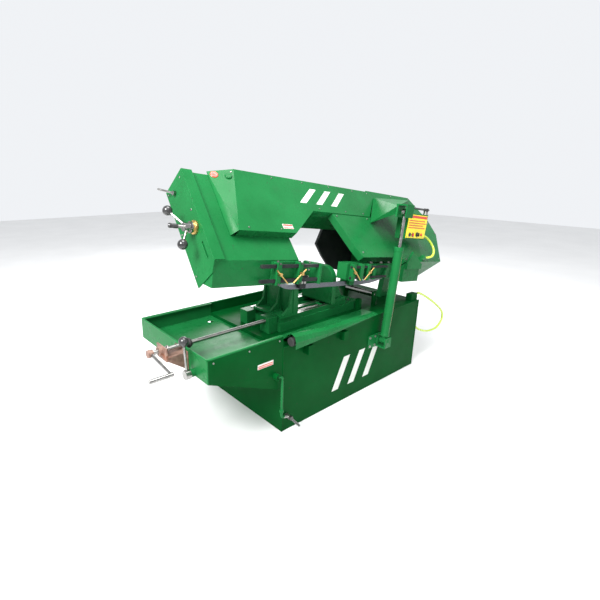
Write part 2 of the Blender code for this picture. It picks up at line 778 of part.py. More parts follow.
piece(
    "idler_wheel",
    IRON,
    CASE,
    [lathe(wheel_profile(0.0155), (IDLER_X, WHEEL_MID_Y, WHEEL_Z), (IDLER_X, WHEEL_MID_Y + 1, WHEEL_Z), 36)],
    wheel_holes(IDLER_X),
    origin=(IDLER_X, WHEEL_MID_Y, WHEEL_Z),
    round_piece=True,
)
piece(
    "drive_wheel",
    IRON,
    CASE,
    [
        lathe(
            [(0.004, 0.14), (0.004, -0.026), (0.018, -0.026), *wheel_profile(0.018), (0.018, 0.14)],
            (DRIVE_X, WHEEL_MID_Y, WHEEL_Z),
            (DRIVE_X, WHEEL_MID_Y + 1, WHEEL_Z),
            36,
        )
    ],
    wheel_holes(DRIVE_X),
    origin=(DRIVE_X, WHEEL_MID_Y, WHEEL_Z),
    round_piece=True,
)
piece(
    "tension_carriage",
    IRON,
    CASE,
    [
        box((IDLER_X - 0.06, 0.008, WHEEL_Z - 0.05), (IDLER_X + 0.06, 0.074, WHEEL_Z + 0.05)),
        rod((IDLER_X, 0.07, WHEEL_Z), (IDLER_X, 0.128, WHEEL_Z), 0.015),
    ],
    [rod((IDLER_X - 0.08, 0.04, WHEEL_Z), (IDLER_X + 0.03, 0.04, WHEEL_Z), 0.0085)],
)
HUB = Vector((case_left, 0.04, WHEEL_Z))
piece(
    "tension_hub",
    BRASS,
    CASE,
    [
        lathe(
            [
                (0.0085, 0.007), (0.034, 0.007), (0.034, 0.018), (0.026, 0.020), (0.026, 0.036),
                (0.0085, 0.036),
            ],
            HUB,
            HUB - Vector((1, 0, 0)),
        )
    ],
    round_piece=True,
)
handle_x = HUB.x - 0.05
tilt_back = math.radians(-CASE_TILT_DEG)


def bow_direction_in_case(y, z):
    """Turns a (y, z) direction of the bow frame into the case frame."""
    return Vector((0, y * math.cos(tilt_back) - z * math.sin(tilt_back), y * math.sin(tilt_back) + z * math.cos(tilt_back)))


arm_out = Vector((-0.05, 0, 0))
arm_one = bow_direction_in_case(math.cos(math.radians(31)), math.sin(math.radians(31)))
arm_two = bow_direction_in_case(math.cos(math.radians(232)), math.sin(math.radians(232)))
arm_hub = Vector((handle_x, 0.04, WHEEL_Z))
ball_one = arm_hub + arm_out + arm_one * 0.125
ball_two = arm_hub + arm_out + arm_two * 0.095
piece(
    "tension_handle",
    CHROME,
    CASE,
    [
        rod((handle_x + 0.0135, 0.04, WHEEL_Z), (handle_x - 0.020, 0.04, WHEEL_Z), 0.021),
        rod((IDLER_X - 0.04, 0.04, WHEEL_Z), (handle_x, 0.04, WHEEL_Z), 0.008),
        rod(arm_hub, ball_one, 0.006, 12),
        rod(arm_hub, ball_two, 0.006, 12),
        rod(arm_hub - Vector((0.015, 0, 0)), arm_hub + Vector((-0.085, 0.01, 0.012)), 0.008, 12),
        ball(ball_one, 0.024),
        ball(ball_two, 0.024),
    ],
    origin=arm_hub,
    round_piece=True,
)
latch_x = case_left - 0.0065 - GAP
latch = Vector((latch_x, 0.10, 0.465))
latch_end = latch + Vector((-0.055, 0, 0)) + bow_direction_in_case(0.085, 0.012)
piece(
    "cover_latch",
    CHROME,
    CASE,
    [
        rod(latch, latch - Vector((0.016, 0, 0)), 0.012, 16),
        rod(latch - Vector((0.008, 0, 0)), latch_end, 0.0055, 12),
    ],
    origin=latch,
    round_piece=True,
)


# ---------------------------------------------------------------- blade
def blade_band():
    """Closed loop round both wheels; each station is (centre, across the width)."""
    to_case = CASE.matrix_world.inverted() @ BOW.matrix_world
    wide = Vector((0, 1, 0))
    stations = []
    steps = 18
    radius = BLADE_R + BLADE_THICK / 2
    for k in range(steps + 1):
        angle = math.pi / 2 - math.pi * k / steps
        stations.append((Vector((DRIVE_X + radius * math.cos(angle), WHEEL_MID_Y, WHEEL_Z + radius * math.sin(angle))), wide))
    upright = to_case.to_3x3() @ Vector((0, 0, 1))
    if upright.y < 0:
        upright = -upright
    guide_right = to_case @ Vector((-0.42, GUIDE_Y, GUIDE_Z))
    guide_left = to_case @ Vector((-1.10, GUIDE_Y, GUIDE_Z))
    spans = (
        (Vector((DRIVE_X - 0.06, WHEEL_MID_Y, WHEEL_Z - radius)), guide_right, 0, 1),
        (guide_left, Vector((IDLER_X + 0.06, WHEEL_MID_Y, WHEEL_Z - radius)), 1, 0),
    )
    for start, end, twist_start, twist_end in spans:
        for k in range(9):
            t = k / 8
            smooth = t * t * (3 - 2 * t)
            twist = twist_start + (twist_end - twist_start) * t
            centre = Vector((start.x + (end.x - start.x) * t, start.y + (end.y - start.y) * smooth, start.z + (end.z - start.z) * smooth))
            stations.append((centre, wide.slerp(-upright, twist) if wide.dot(upright) < 0 else wide.slerp(upright, twist)))
    for k in range(steps + 1):
        angle = -math.pi / 2 - math.pi * k / steps
        stations.append((Vector((IDLER_X + radius * math.cos(angle), WHEEL_MID_Y, WHEEL_Z + radius * math.sin(angle))), wide))
    bm = bmesh.new()
    rows = []
    count = len(stations)
    for k, (centre, across) in enumerate(stations):
        along = (stations[(k + 1) % count][0] - stations[k - 1][0]).normalized()
        side = (across - along * across.dot(along)).normalized() * (BLADE_WIDE / 2)
        normal = along.cross(side).normalized() * (BLADE_THICK / 2)
        corners = (centre + side + normal, centre + side - normal, centre - side - normal, centre - side + normal)
        rows.append([bm.verts.new(corner) for corner in corners])
    for k in range(count):
        here = rows[k]
        there = rows[(k + 1) % count]
        for i in range(4):
            j = (i + 1) % 4
            bm.faces.new((here[i], here[j], there[j], there[i]))
    bmesh.ops.recalc_face_normals(bm, faces=bm.faces)
    return bm


piece("saw_blade", STEEL, CASE, [blade_band()])


# ---------------------------------------------------------------- blade guides
def guide_head(x_low, x_high):
    """Block over the blade's back edge with a pad each side of the blade."""
    slot = BLADE_THICK / 2 + 0.0007
    top_edge = GUIDE_Z + BLADE_WIDE / 2
    return (
        [box((x_low, GUIDE_Y - 0.02, GUIDE_Z - 0.008), (x_high, GUIDE_Y + 0.02, 0.05))],
        [box((x_low - 0.01, GUIDE_Y - slot, GUIDE_Z - 0.02), (x_high + 0.01, GUIDE_Y + slot, top_edge + 0.001))],
    )


bar_levels = ((0.112, 0.130), (0.036, 0.054))
bar_y = (0.030, 0.048)
bar_cuts = [
    box((-1.36, bar_y[0] - GAP, low - GAP), (-1.05, bar_y[1] + GAP, high + GAP)) for low, high in bar_levels
]
piece(
    "arm_clamp",
    GREEN,
    BOW,
    [
        box((-1.31, 0.056, 0.024), (-1.116, CASE_ORIGIN_Y - 0.001, 0.142)),
        box((-1.305, 0.022, 0.024), (-1.275, 0.060, 0.142)),
        box((-1.150, 0.022, 0.024), (-1.120, 0.060, 0.142)),
    ],
    bar_cuts,
)
left_solids, left_cuts = guide_head(-1.045, -0.995)
piece(
    "guide_arm",
    DARK,
    BOW,
    [
        box((-0.990, 0.020, 0.02), (-0.972, 0.148, 0.132)),
        *[box((-1.40, bar_y[0], low), (-0.985, bar_y[1], high)) for low, high in bar_levels],
        *left_solids,
        box((-1.0, GUIDE_Y - 0.02, 0.025), (-0.985, GUIDE_Y + 0.02, 0.05)),
    ],
    left_cuts,
)
for lever_name, lever_x, lever_lean in (("clamp_lever_left", -1.29, 1), ("clamp_lever_right", -1.135, -1)):
    centre = Vector((lever_x, 0.012, 0.083))
    reach = Vector((0.045 * lever_lean, 0, -0.038))
    piece(
        lever_name,
        BRASS,
        BOW,
        [
            rod((lever_x, 0.0215, 0.083), (lever_x, 0.004, 0.083), 0.009, 16),
            rod(centre - reach * 0.6, centre + reach * 1.25, 0.004, 8),
        ],
        origin=centre,
        round_piece=True,
    )
right_solids, right_cuts = guide_head(-0.60, -0.55)
piece(
    "right_guide_box",
    GREEN,
    BOW,
    [
        box((-0.72, 0.045, 0.028), (-0.505, 0.118, 0.128)),
        box((-0.62, 0.09, 0.028), (-0.53, 0.1449, 0.06)),
        *right_solids,
        box((-0.51, 0.050, 0.022), (-0.1615, 0.112, 0.122)),
        box((-0.47, 0.028, 0.024), (-0.44, 0.055, 0.118)),
        box((-0.33, 0.028, 0.024), (-0.30, 0.055, 0.118)),
    ],
    right_cuts,
)
piece(
    "chip_brush_guard",
    GREEN,
    BOW,
    [
        prism([(0.0, 0.130), (0.0, 0.0), (0.085, 0.0), (0.085, 0.055)], "x", -0.16, 0.045),
        prism([
            (-0.15, 0.09), (0.04, 0.09), (0.04, 0.125), (-0.10, 0.21), (-0.15, 0.137),
        ], "y", -0.016, 0.004),
    ],
    [box((-0.2, -0.0025, 0.132), (0.1, 0.02, 0.23))],
)

# ---------------------------------------------------------------- bow: controls
BUTTONS = (("start_button", -0.115), ("stop_button", -0.075))


def button_holes():
    return [rod((x, 0.02, 0.322), (x, 0.040, 0.322), 0.0106, 16) for _, x in BUTTONS]


piece(
    "control_box",
    GREEN,
    BOW,
    [box((-0.165, 0.035, 0.292), (0.10, 0.110, 0.466))],
    button_holes(),
)
piece(
    "control_panel",
    YELLOW,
    BOW,
    [box((-0.155, 0.030, 0.300), (0.088, 0.035 - GAP, 0.458))],
    button_holes(),
)
for button_name, button_x in BUTTONS:
    piece(
        button_name,
        BLACK,
        BOW,
        [rod((button_x, 0.034, 0.322), (button_x, 0.023, 0.322), 0.010, 16)],
        origin=(button_x, 0.034, 0.322),
        round_piece=True,
    )
piece(
    "valve_post",
    STEEL,
    BOW,
    [
        box((0.1005, 0.055, 0.40), (0.15, 0.095, 0.42)),
        rod((0.13, 0.075, 0.41), (0.13, 0.075, 0.490), 0.015),
    ],
)
piece(
    "feed_valve_handle",
    BLACK,
    BOW,
    [
        rod((0.13, 0.075, 0.4905), (0.13, 0.075, 0.512), 0.017),
        rod((0.165, 0.075, 0.502), (-0.04, 0.075, 0.502), 0.007, 12),
    ],
    origin=(0.13, 0.075, 0.502),
    round_piece=True,
)

# ---------------------------------------------------------------- lift cylinder
bow_to_cab = CAB.matrix_world.inverted() @ BOW.matrix_world
top_pin_cab = bow_to_cab @ Vector(TOP_PIN)
low_pin = Vector(LOW_PIN)
lift_axis = (top_pin_cab - low_pin).normalized()
lift_length = (top_pin_cab - low_pin).length


def on_lift(distance):
    return low_pin + lift_axis * distance


piece(
    "cylinder_barrel",
    GREEN,
    CAB,
    [
        lathe(
            [
                (0.0215, 0.06), (0.0215, 0.61), (0.0125, 0.61), (0.0125, 0.626), (0.024, 0.626),
                (0.028, 0.615), (0.028, 0.032), (0.010, 0.032), (0.010, 0.06),
            ],
            on_lift(0),
            on_lift(1),
        ),
        rod((LOW_PIN[0], CYLINDER_Y - 0.022, LOW_PIN[2]), (LOW_PIN[0], CYLINDER_Y + 0.022, LOW_PIN[2]), 0.022),
        rod(on_lift(0.016), on_lift(0.055), 0.018, 16),
    ],
    [rod((LOW_PIN[0], CYLINDER_Y - 0.03, LOW_PIN[2]), (LOW_PIN[0], CYLINDER_Y + 0.03, LOW_PIN[2]), 0.0095, 16)],
    origin=LOW_PIN,
    round_piece=True,
)
piece(
    "cylinder_rod",
    CHROME,
    CAB,
    [
        rod(on_lift(0.20), on_lift(lift_length - 0.018), 0.011),
        rod(on_lift(0.20), on_lift(0.22), 0.021),
        rod(top_pin_cab - Vector((0, 0.010, 0)), top_pin_cab + Vector((0, 0.010, 0)), 0.0235),
    ],
    [rod(top_pin_cab - Vector((0, 0.02, 0)), top_pin_cab + Vector((0, 0.02, 0)), 0.0155)],
    origin=top_pin_cab,
    round_piece=True,
)

# ---------------------------------------------------------------- coolant hose
coolant_route = [
    (1.3815, 0.040, 0.290),
    (1.410, 0.040, 0.286),
    (1.475, 0.037, 0.245),
    (1.600, 0.033, 0.200),
    (1.740, 0.030, 0.196),
    (1.818, 0.030, 0.250),
    (1.790, 0.025, 0.330),
    (1.650, 0.020, 0.425),
    (1.500, 0.025, 0.510),
    (1.410, 0.035, 0.553),
    (1.375, 0.035, 0.556),
    (1.3460, 0.035, 0.556),
]
bow_route = [
    (0.1008, 0.075, 0.322),
    (0.132, 0.075, 0.322),
    (0.175, 0.060, 0.308),
    (0.205, 0.030, 0.268),
    (0.205, 0.000, 0.220),
    (0.175, -0.010, 0.180),
    (0.128, 0.004, 0.167),
    (0.0908, 0.005, 0.167),
]


def smooth_line(points, per_span):
    """Catmull-Rom curve through the route, as a list of points."""
    line = []
    last = len(points) - 1
    for i in range(last):
        before = Vector(points[max(i - 1, 0)])
        start = Vector(points[i])
        end = Vector(points[i + 1])
        after = Vector(points[min(i + 2, last)])
        for k in range(per_span):
            t = k / per_span
            line.append(
                0.5 * (2 * start + (end - before) * t + (2 * before - 5 * start + 4 * end - after) * t**2 + (3 * start - before - 3 * end + after) * t**3)
            )
    line.append(Vector(points[-1]))
    return line


def hose(name, route, parent):
    curve = bpy.data.curves.new(name, "CURVE")
    curve.dimensions = "3D"
    curve.bevel_depth = 0.008
    curve.bevel_resolution = 2
    curve.use_fill_caps = True
    line = smooth_line(route, 3)
    spline = curve.splines.new("POLY")
    spline.points.add(len(line) - 1)
    for spline_point, place in zip(spline.points, line):
        spline_point.co = (*place, 1)
    curve.materials.append(HOSE)
    obj = bpy.data.objects.new(name, curve)
    SCENE.objects.link(obj)
    obj.parent = parent


hose("coolant_hose", coolant_route, CAB)
hose("bow_hose", bow_route, BOW)
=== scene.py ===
"""Looks of the hinged-bow band saw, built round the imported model."""

import json
import math

import bmesh
import bpy
from mathutils import Matrix, Vector


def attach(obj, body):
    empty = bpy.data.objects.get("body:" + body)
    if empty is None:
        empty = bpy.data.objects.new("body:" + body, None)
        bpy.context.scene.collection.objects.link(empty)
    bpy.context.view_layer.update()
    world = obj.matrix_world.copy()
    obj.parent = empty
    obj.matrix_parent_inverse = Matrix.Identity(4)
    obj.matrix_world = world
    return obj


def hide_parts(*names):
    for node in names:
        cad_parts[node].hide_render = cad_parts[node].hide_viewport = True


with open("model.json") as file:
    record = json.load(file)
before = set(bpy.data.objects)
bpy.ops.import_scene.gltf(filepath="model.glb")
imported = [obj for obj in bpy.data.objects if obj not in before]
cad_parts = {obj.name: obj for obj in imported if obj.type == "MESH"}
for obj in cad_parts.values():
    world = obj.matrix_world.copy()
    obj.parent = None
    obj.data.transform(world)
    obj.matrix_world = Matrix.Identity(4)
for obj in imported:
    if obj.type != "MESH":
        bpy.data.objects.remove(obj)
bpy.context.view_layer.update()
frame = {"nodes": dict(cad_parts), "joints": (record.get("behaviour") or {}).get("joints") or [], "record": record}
SCENE = bpy.context.scene
NODES = frame["nodes"]
JOINTS = {joint["name"]: joint for joint in frame["joints"]}
BODY_OF = {node: body for body, members in frame["record"]["behaviour"]["bodies"].items() for node in members}
SLOT_OF = {entry["node"]: entry["material_slot"] for entry in frame["record"]["subparts"]}

# Spaces that the pieces are drawn in: cabinet corner, bow, and tilted wheel case.
BASE_X = 1.35
BASE_Y = 0.72
BASE_Z = 0.52
CAB = Matrix.Translation((-BASE_X / 2, -BASE_Y / 2, 0))
pivot = Vector(JOINTS["bow_swing"]["pos_m"])
along_bow = Vector(JOINTS["guide_arm_slide"]["axis"]).normalized()
across_case = Vector(JOINTS["drive_wheel_spin"]["axis"]).normalized()
BOW_Y = Vector((0, 1, 0))


def space(origin, x_axis, y_axis):
    """Matrix of a space with this corner and these two directions."""
    z_axis = x_axis.cross(y_axis)
    matrix = Matrix((x_axis, y_axis, z_axis)).transposed().to_4x4()
    matrix.translation = origin
    return matrix


BOW = space(Vector((pivot.x, -BASE_Y / 2, pivot.z)), along_bow, BOW_Y)
CASE = space(BOW @ Vector((0, 0.07, 0.149)), along_bow, across_case)
CASE_LEFT = -1.658
CASE_DEPTH = 0.178
WHEEL_Z = 0.21
DRIVE_X = 0.17

# ---------------------------------------------------------------- camera
camera_data = bpy.data.cameras.new("camera")
camera_data.lens = 24.06
camera_data.shift_x = 0.0643
camera_data.shift_y = -0.0163
camera = bpy.data.objects.new("camera", camera_data)
SCENE.collection.objects.link(camera)
view_forward = Vector((0.611, 0.740, -0.283))
VIEW_ROLL = math.radians(0.42)
camera.matrix_world = (
    Matrix.Translation((-2.015, -1.796, 1.417))
    @ view_forward.to_track_quat("-Z", "Y").to_matrix().to_4x4()
    @ Matrix.Rotation(VIEW_ROLL, 4, "Z")
)
SCENE.camera = camera


# ---------------------------------------------------------------- materials
class Nodes:
    """Short way to add linked shader nodes to a material."""

    def __init__(self, name):
        self.material = bpy.data.materials.new(name)
        self.material.use_nodes = True
        self.tree = self.material.node_tree
        self.shader = self.tree.nodes["Principled BSDF"]
        self.place = self.add("ShaderNodeTexCoord").outputs["Object"]

    def add(self, kind, **values):
        node = self.tree.nodes.new(kind)
        for key, value in values.items():
            if key in node.inputs:
                node.inputs[key].default_value = value
            else:
                setattr(node, key, value)
        return node

    def link(self, start, end):
        self.tree.links.new(start, end)

    def stretched(self, scale):
        mapping = self.add("ShaderNodeMapping")
        mapping.inputs["Scale"].default_value = scale
        self.link(self.place, mapping.inputs["Vector"])
        return mapping.outputs["Vector"]

    def noise(self, scale, detail=4.0, vector=None, roughness=0.55):
        node = self.add("ShaderNodeTexNoise", Scale=scale, Detail=detail, Roughness=roughness)
        self.link(vector or self.place, node.inputs["Vector"])
        return node.outputs["Fac"]

    def band(self, value, low, high, to_low=0.0, to_high=1.0):
        node = self.add("ShaderNodeMapRange")
        node.inputs["From Min"].default_value = low
        node.inputs["From Max"].default_value = high
        node.inputs["To Min"].default_value = to_low
        node.inputs["To Max"].default_value = to_high
        self.link(value, node.inputs["Value"])
        return node.outputs["Result"]

    def blend(self, factor, first, second):
        """Mixes two colours; each is a colour or an earlier result."""
        node = self.add("ShaderNodeMix", data_type="RGBA")
        self.link(factor, node.inputs["Factor"])
        for socket, value in ((node.inputs[6], first), (node.inputs[7], second)):
            if isinstance(value, tuple):
                socket.default_value = (*value, 1.0)
            else:
                self.link(value, socket)
        return node.outputs[2]

    def bump(self, heights):
        """Chain of bumps from (height, strength, distance) entries."""
        normal = None
        for height, strength, distance in heights:
            node = self.add("ShaderNodeBump", Strength=strength, Distance=distance)
            self.link(height, node.inputs["Height"])
            if normal:
                self.link(normal, node.inputs["Normal"])
            normal = node.outputs["Normal"]
        self.link(normal, self.shader.inputs["Normal"])


def enamel(name, light, dark, dust, gloss, chips=0.72, shine=0.08):
    """Brushed-on machine paint: mottled colour, dust, small chips, orange peel."""
    n = Nodes(name)
    mottle = n.band(n.noise(3.5, 6.0), 0.35, 0.68)
    colour = n.blend(mottle, dark, light)
    grime = n.band(n.noise(11.0, 8.0), 0.55, 0.85, 0.0, 0.45)
    colour = n.blend(grime, colour, dust)
    chip = n.band(n.noise(60.0, 3.0), chips, chips + 0.02)
    colour = n.blend(chip, colour, (0.03, 0.028, 0.024))
    n.link(colour, n.shader.inputs["Base Color"])
    n.link(n.band(n.noise(18.0, 5.0), 0.3, 0.7, gloss, gloss + 0.16), n.shader.inputs["Roughness"])
    n.shader.inputs["Specular IOR Level"].default_value = shine
    n.shader.inputs["Coat Weight"].default_value = 0.03
    n.shader.inputs["Coat Roughness"].default_value = 0.15
    n.bump([(n.noise(190.0, 2.0), 0.10, 0.0006), (n.noise(5.0, 2.0), 0.10, 0.004)])
    return n.material


def metal(name, light, dark, rough, stretch=None, grain=0.15, rust=None, metallic=1.0):
    """Bare or plated metal with fine grain, and rust spots if given."""
    n = Nodes(name)
    vector = n.stretched(stretch) if stretch else n.place
    streak = n.noise(40.0, 5.0, vector)
    colour = n.blend(n.band(streak, 0.3, 0.7), dark, light)
    if rust:
        colour = n.blend(n.band(n.noise(14.0, 9.0), 0.56, 0.66), colour, rust)
    n.link(colour, n.shader.inputs["Base Color"])
    n.shader.inputs["Metallic"].default_value = metallic
    n.link(n.band(streak, 0.3, 0.7, rough, rough + 0.14), n.shader.inputs["Roughness"])
    n.bump([(n.noise(160.0, 3.0, vector), grain, 0.0004)])
    return n.material


def plastic(name, light, dark, rough, grain, grain_scale=350.0, coat=0.0):
    n = Nodes(name)
    n.link(n.blend(n.band(n.noise(9.0, 5.0), 0.35, 0.7), dark, light), n.shader.inputs["Base Color"])
    n.link(n.band(n.noise(25.0, 4.0), 0.3, 0.7, rough, rough + 0.12), n.shader.inputs["Roughness"])
    n.shader.inputs["Coat Weight"].default_value = coat
    n.bump([(n.noise(grain_scale, 2.0), grain, 0.0004)])
    return n.material


GREEN = enamel("green_enamel", (0.009, 0.138, 0.036), (0.006, 0.106, 0.026), (0.018, 0.10, 0.034), 0.22)
# Darker green for the cabinet and the tray's front apron: partly the cabinet's own paint, partly painted shade for
# the dark front of the base.
CABINET_GREEN_AND_SHADE = enamel(
    "cabinet_enamel_and_shade", (0.0012, 0.068, 0.013), (0.0008, 0.052, 0.009), (0.004, 0.054, 0.014), 0.30, shine=0.02
)
DARK = enamel("dark_enamel", (0.028, 0.032, 0.032), (0.014, 0.017, 0.017), (0.08, 0.075, 0.06), 0.38, 0.74)
BROWN = metal(
    "worn_brown",
    (0.30, 0.19, 0.15),
    (0.16, 0.085, 0.06),
    rough=0.45,
    grain=0.5,
    rust=(0.20, 0.06, 0.02),
    metallic=0.35,
)
IRON = metal(
    "oily_iron",
    (0.13, 0.125, 0.12),
    (0.045, 0.045, 0.043),
    rough=0.42,
    grain=0.45,
    rust=(0.09, 0.045, 0.025),
    metallic=0.7,
)
STEEL = metal("ground_steel", (0.46, 0.45, 0.43), (0.24, 0.235, 0.22), 0.26, (1.0, 9.0, 9.0))
BLADE = metal("blade_steel", (0.20, 0.21, 0.23), (0.09, 0.095, 0.11), 0.34, (1.0, 14.0, 14.0))
CHROME = metal("bright_chrome", (0.36, 0.355, 0.34), (0.24, 0.235, 0.225), 0.16, grain=0.10)
BRASS = metal("dull_brass", (0.68, 0.46, 0.17), (0.38, 0.24, 0.08), 0.30, grain=0.2)
BLACK = plastic("black_plastic", (0.022, 0.022, 0.022), (0.012, 0.012, 0.012), 0.24, 0.12, coat=0.4)
RUBBER = plastic("black_rubber", (0.030, 0.030, 0.030), (0.014, 0.014, 0.014), 0.62, 0.35)
YELLOW = plastic("yellow_panel", (0.90, 0.76, 0.02), (0.80, 0.66, 0.015), 0.28, 0.06, coat=0.3)
HOSE = plastic("hose_plastic", (0.56, 0.72, 0.06), (0.42, 0.58, 0.035), 0.20, 0.10, 120.0, coat=0.5)
RED = plastic("red_paint", (0.70, 0.055, 0.02), (0.52, 0.03, 0.012), 0.30, 0.12, coat=0.3)
WHITE = plastic("white_marking", (0.66, 0.68, 0.64), (0.54, 0.56, 0.52), 0.34, 0.08)
LABEL_RED = plastic("label_red", (0.62, 0.09, 0.05), (0.48, 0.06, 0.035), 0.4, 0.08)
COPPER = metal("copper_pipe", (0.72, 0.36, 0.20), (0.42, 0.19, 0.10), 0.25)

LOOK_OF_SLOT = {
    "green_paint": GREEN,
    "black_plastic": BLACK,
    "dark_paint": DARK,
    "bright_steel": STEEL,
    "chrome": CHROME,
    "brass": BRASS,
    "cast_iron": IRON,
    "worn_brown_paint": BROWN,
    "yellow_panel": YELLOW,
    "black_rubber": RUBBER,
    "hose_plastic": HOSE,
}
for node, obj in NODES.items():
    obj.data.materials.clear()
    obj.data.materials.append(LOOK_OF_SLOT[SLOT_OF[node]])


# ---------------------------------------------------------------- mesh helpers
def turn_to(start, end):
    """Matrix that puts +Z on the line from start to end."""
    direction = Vector(end) - Vector(start)
    return Matrix.Translation(start) @ direction.to_track_quat("Z", "Y").to_matrix().to_4x4()


def add_lathe(bm, profile, start, end, sides=24, matrix=None):
    """Turns (radius, height) points about the line from start to end; a zero radius closes an end."""
    placed = (matrix or Matrix()) @ turn_to(start, end)
    rings = []
    for radius, height in profile:
        if radius == 0:
            rings.append([bm.verts.new(placed @ Vector((0, 0, height)))])
            continue
        ring = []
        for k in range(sides):
            a = 2 * math.pi * k / sides
            ring.append(bm.verts.new(placed @ Vector((radius * math.cos(a), radius * math.sin(a), height))))
        rings.append(ring)
    for here, there in zip(rings, rings[1:]):
        for k in range(sides):
            j = (k + 1) % sides
            corners = [here[k % len(here)], here[j % len(here)], there[j % len(there)], there[k % len(there)]]
            corners = [v for i, v in enumerate(corners) if v not in corners[:i]]
            bm.faces.new(corners)


def add_rod(bm, start, end, radius, matrix=None, sides=20, edge=0.0012):
    """Round bar with chamfered ends."""
    length = (Vector(end) - Vector(start)).length
    end_r = radius - edge
    profile = [(0, 0), (end_r, 0), (radius, edge), (radius, length - edge), (end_r, length), (0, length)]
    add_lathe(bm, profile, start, end, sides, matrix)


def add_ball(bm, centre, radius, axis, matrix=None):
    """Ball knob with a flat and a collar where its arm goes in; axis points from the arm to the ball."""
    axis = Vector(axis).normalized()
    centre = Vector(centre)
    profile = [(0, -radius * 1.02), (radius * 0.42, -radius * 1.02), (radius * 0.46, -radius * 0.90)]
    for k in range(1, 12):
        a = -math.pi / 2 + math.pi * (k + 1.2) / 13.2
        profile.append((radius * math.cos(a), radius * math.sin(a)))
    profile.append((0, radius))
    add_lathe(bm, profile, centre, centre + axis, 24, matrix)


def add_hex(bm, at, axis, radius, height, matrix=None, washer=True):
    """Hexagon head on a washer, standing on the face at this point."""
    at = Vector(at)
    top = at + Vector(axis).normalized()
    if washer:
        rim = radius * 1.35
        add_lathe(bm, [(rim, 0), (rim, height * 0.2), (0, height * 0.2)], at, top, 20, matrix)
    head = [(radius, height * 0.2), (radius, height * 0.9), (radius * 0.88, height), (0, height)]
    add_lathe(bm, head, at, top, 6, matrix)


def add_cap(bm, at, axis, radius, height, matrix=None):
    """Round head with a sunk hexagon socket."""
    at = Vector(at)
    top = at + Vector(axis).normalized()
    outer = [(radius, 0), (radius, height * 0.85), (radius * 0.88, height), (radius * 0.5, height)]
    add_lathe(bm, [*outer, (radius * 0.5, height * 0.35), (0, height * 0.35)], at, top, 12, matrix)


# Radius and height of the two common screw heads, and the ways that heads point.
COVER_CAP = (0.0045, 0.0035)
CASE_CAP = (0.0052, 0.004)
FRONT = (0, -1, 0)
REAR = (0, 1, 0)
LEFT = (-1, 0, 0)
RIGHT = (1, 0, 0)
UP = (0, 0, 1)


def add_box(bm, low, high, matrix=None):
    size = [h - l for l, h in zip(low, high)]
    centre = [(h + l) / 2 for l, h in zip(low, high)]
    made = bmesh.ops.create_cube(bm, size=1.0)
    placed = (matrix or Matrix()) @ Matrix.Translation(centre) @ Matrix.Diagonal((*size, 1))
    bmesh.ops.transform(bm, matrix=placed, verts=made["verts"])


def add_plate(bm, points, axis, low, high, matrix=None):
    """Flat plate with this outline: y takes (x, z) points, x takes (y, z)."""
    placed = matrix or Matrix()
    rows = []
    for depth in (low, high):
        if axis == "y":
            rows.append([bm.verts.new(placed @ Vector((a, depth, b))) for a, b in points])
        else:
            rows.append([bm.verts.new(placed @ Vector((depth, a, b))) for a, b in points])
    bm.faces.new(rows[0])
    bm.faces.new(rows[1])
    for i in range(len(points)):
        j = (i + 1) % len(points)
        bm.faces.new((rows[0][i], rows[0][j], rows[1][j], rows[1][i]))


STRIPE_FILM = 0.0006
STRIPE_SUNK = 0.0002


def add_stripes(bm, first, pitch, wide, lean, low, high, face_y, matrix):
    """Three plain slanted stripes, as thin as paint, on a face that looks to the front."""
    for k in range(3):
        left = first + pitch * k
        outline = [(left, low), (left + wide, low), (left + lean + wide, high), (left + lean, high)]
        add_plate(bm, outline, "y", face_y - STRIPE_FILM, face_y + STRIPE_SUNK, matrix)


def add_tube(bm, points, radius, matrix=None, sides=10):
    """Bent pipe through these points."""
    placed = matrix or Matrix()
    line = [placed @ Vector(p) for p in points]
    rings = []
    side = Vector((0.3, 0.5, 0.8))
    for i, point in enumerate(line):
        run = (line[min(i + 1, len(line) - 1)] - line[max(i - 1, 0)]).normalized()
        side = (side - run * side.dot(run)).normalized()
        other = run.cross(side)
        ring = []
        for k in range(sides):
            a = 2 * math.pi * k / sides
            ring.append(bm.verts.new(point + (side * math.cos(a) + other * math.sin(a)) * radius))
        rings.append(ring)
    for here, there in zip(rings, rings[1:]):
        for k in range(sides):
            j = (k + 1) % sides
            bm.faces.new((here[k], here[j], there[j], there[k]))
    bm.faces.new(rings[0])
    bm.faces.new(rings[-1])


def finish_piece(name, bm, look, body, slot, bevel=0.0, sharp=32.0, replaces=()):
    """Turns the mesh into a piece that rides on a body."""
    bmesh.ops.recalc_face_normals(bm, faces=bm.faces)
    mesh = bpy.data.meshes.new(name)
    bm.to_mesh(mesh)
    bm.free()
    mesh.materials.append(look)
    mesh.shade_smooth()
    mesh.set_sharp_from_angle(angle=math.radians(sharp))
    obj = bpy.data.objects.new(name, mesh)
    SCENE.collection.objects.link(obj)
    if bevel:
        step = obj.modifiers.new("rounded_edges", "BEVEL")
        step.width = bevel
        step.segments = 2
        step.limit_method = "ANGLE"
        step.angle_limit = math.radians(sharp)
        step.harden_normals = True
    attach(obj, body)
    if replaces:
        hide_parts(*replaces)
    return obj


def piece(look, body, slot, **options):
    """Runs the function below it on a new mesh, and finishes a piece with that function's name."""

    def build(draw):
        bm = bmesh.new()
        draw(bm)
        return finish_piece(draw.__name__, bm, look, body, slot, **options)

    return build


def two_looks(obj, look, chosen):
    """Gives the faces whose centre passes the test a second material."""
    obj.data.materials.append(look)
    for face in obj.data.polygons:
        if chosen(face.center):
            face.material_index = 1


REPAINTED = {
    "base_cabinet": CABINET_GREEN_AND_SHADE,
    "stop_button": RED,
    "fixed_jaw_face": GREEN,
    "moving_jaw_face": GREEN,
}


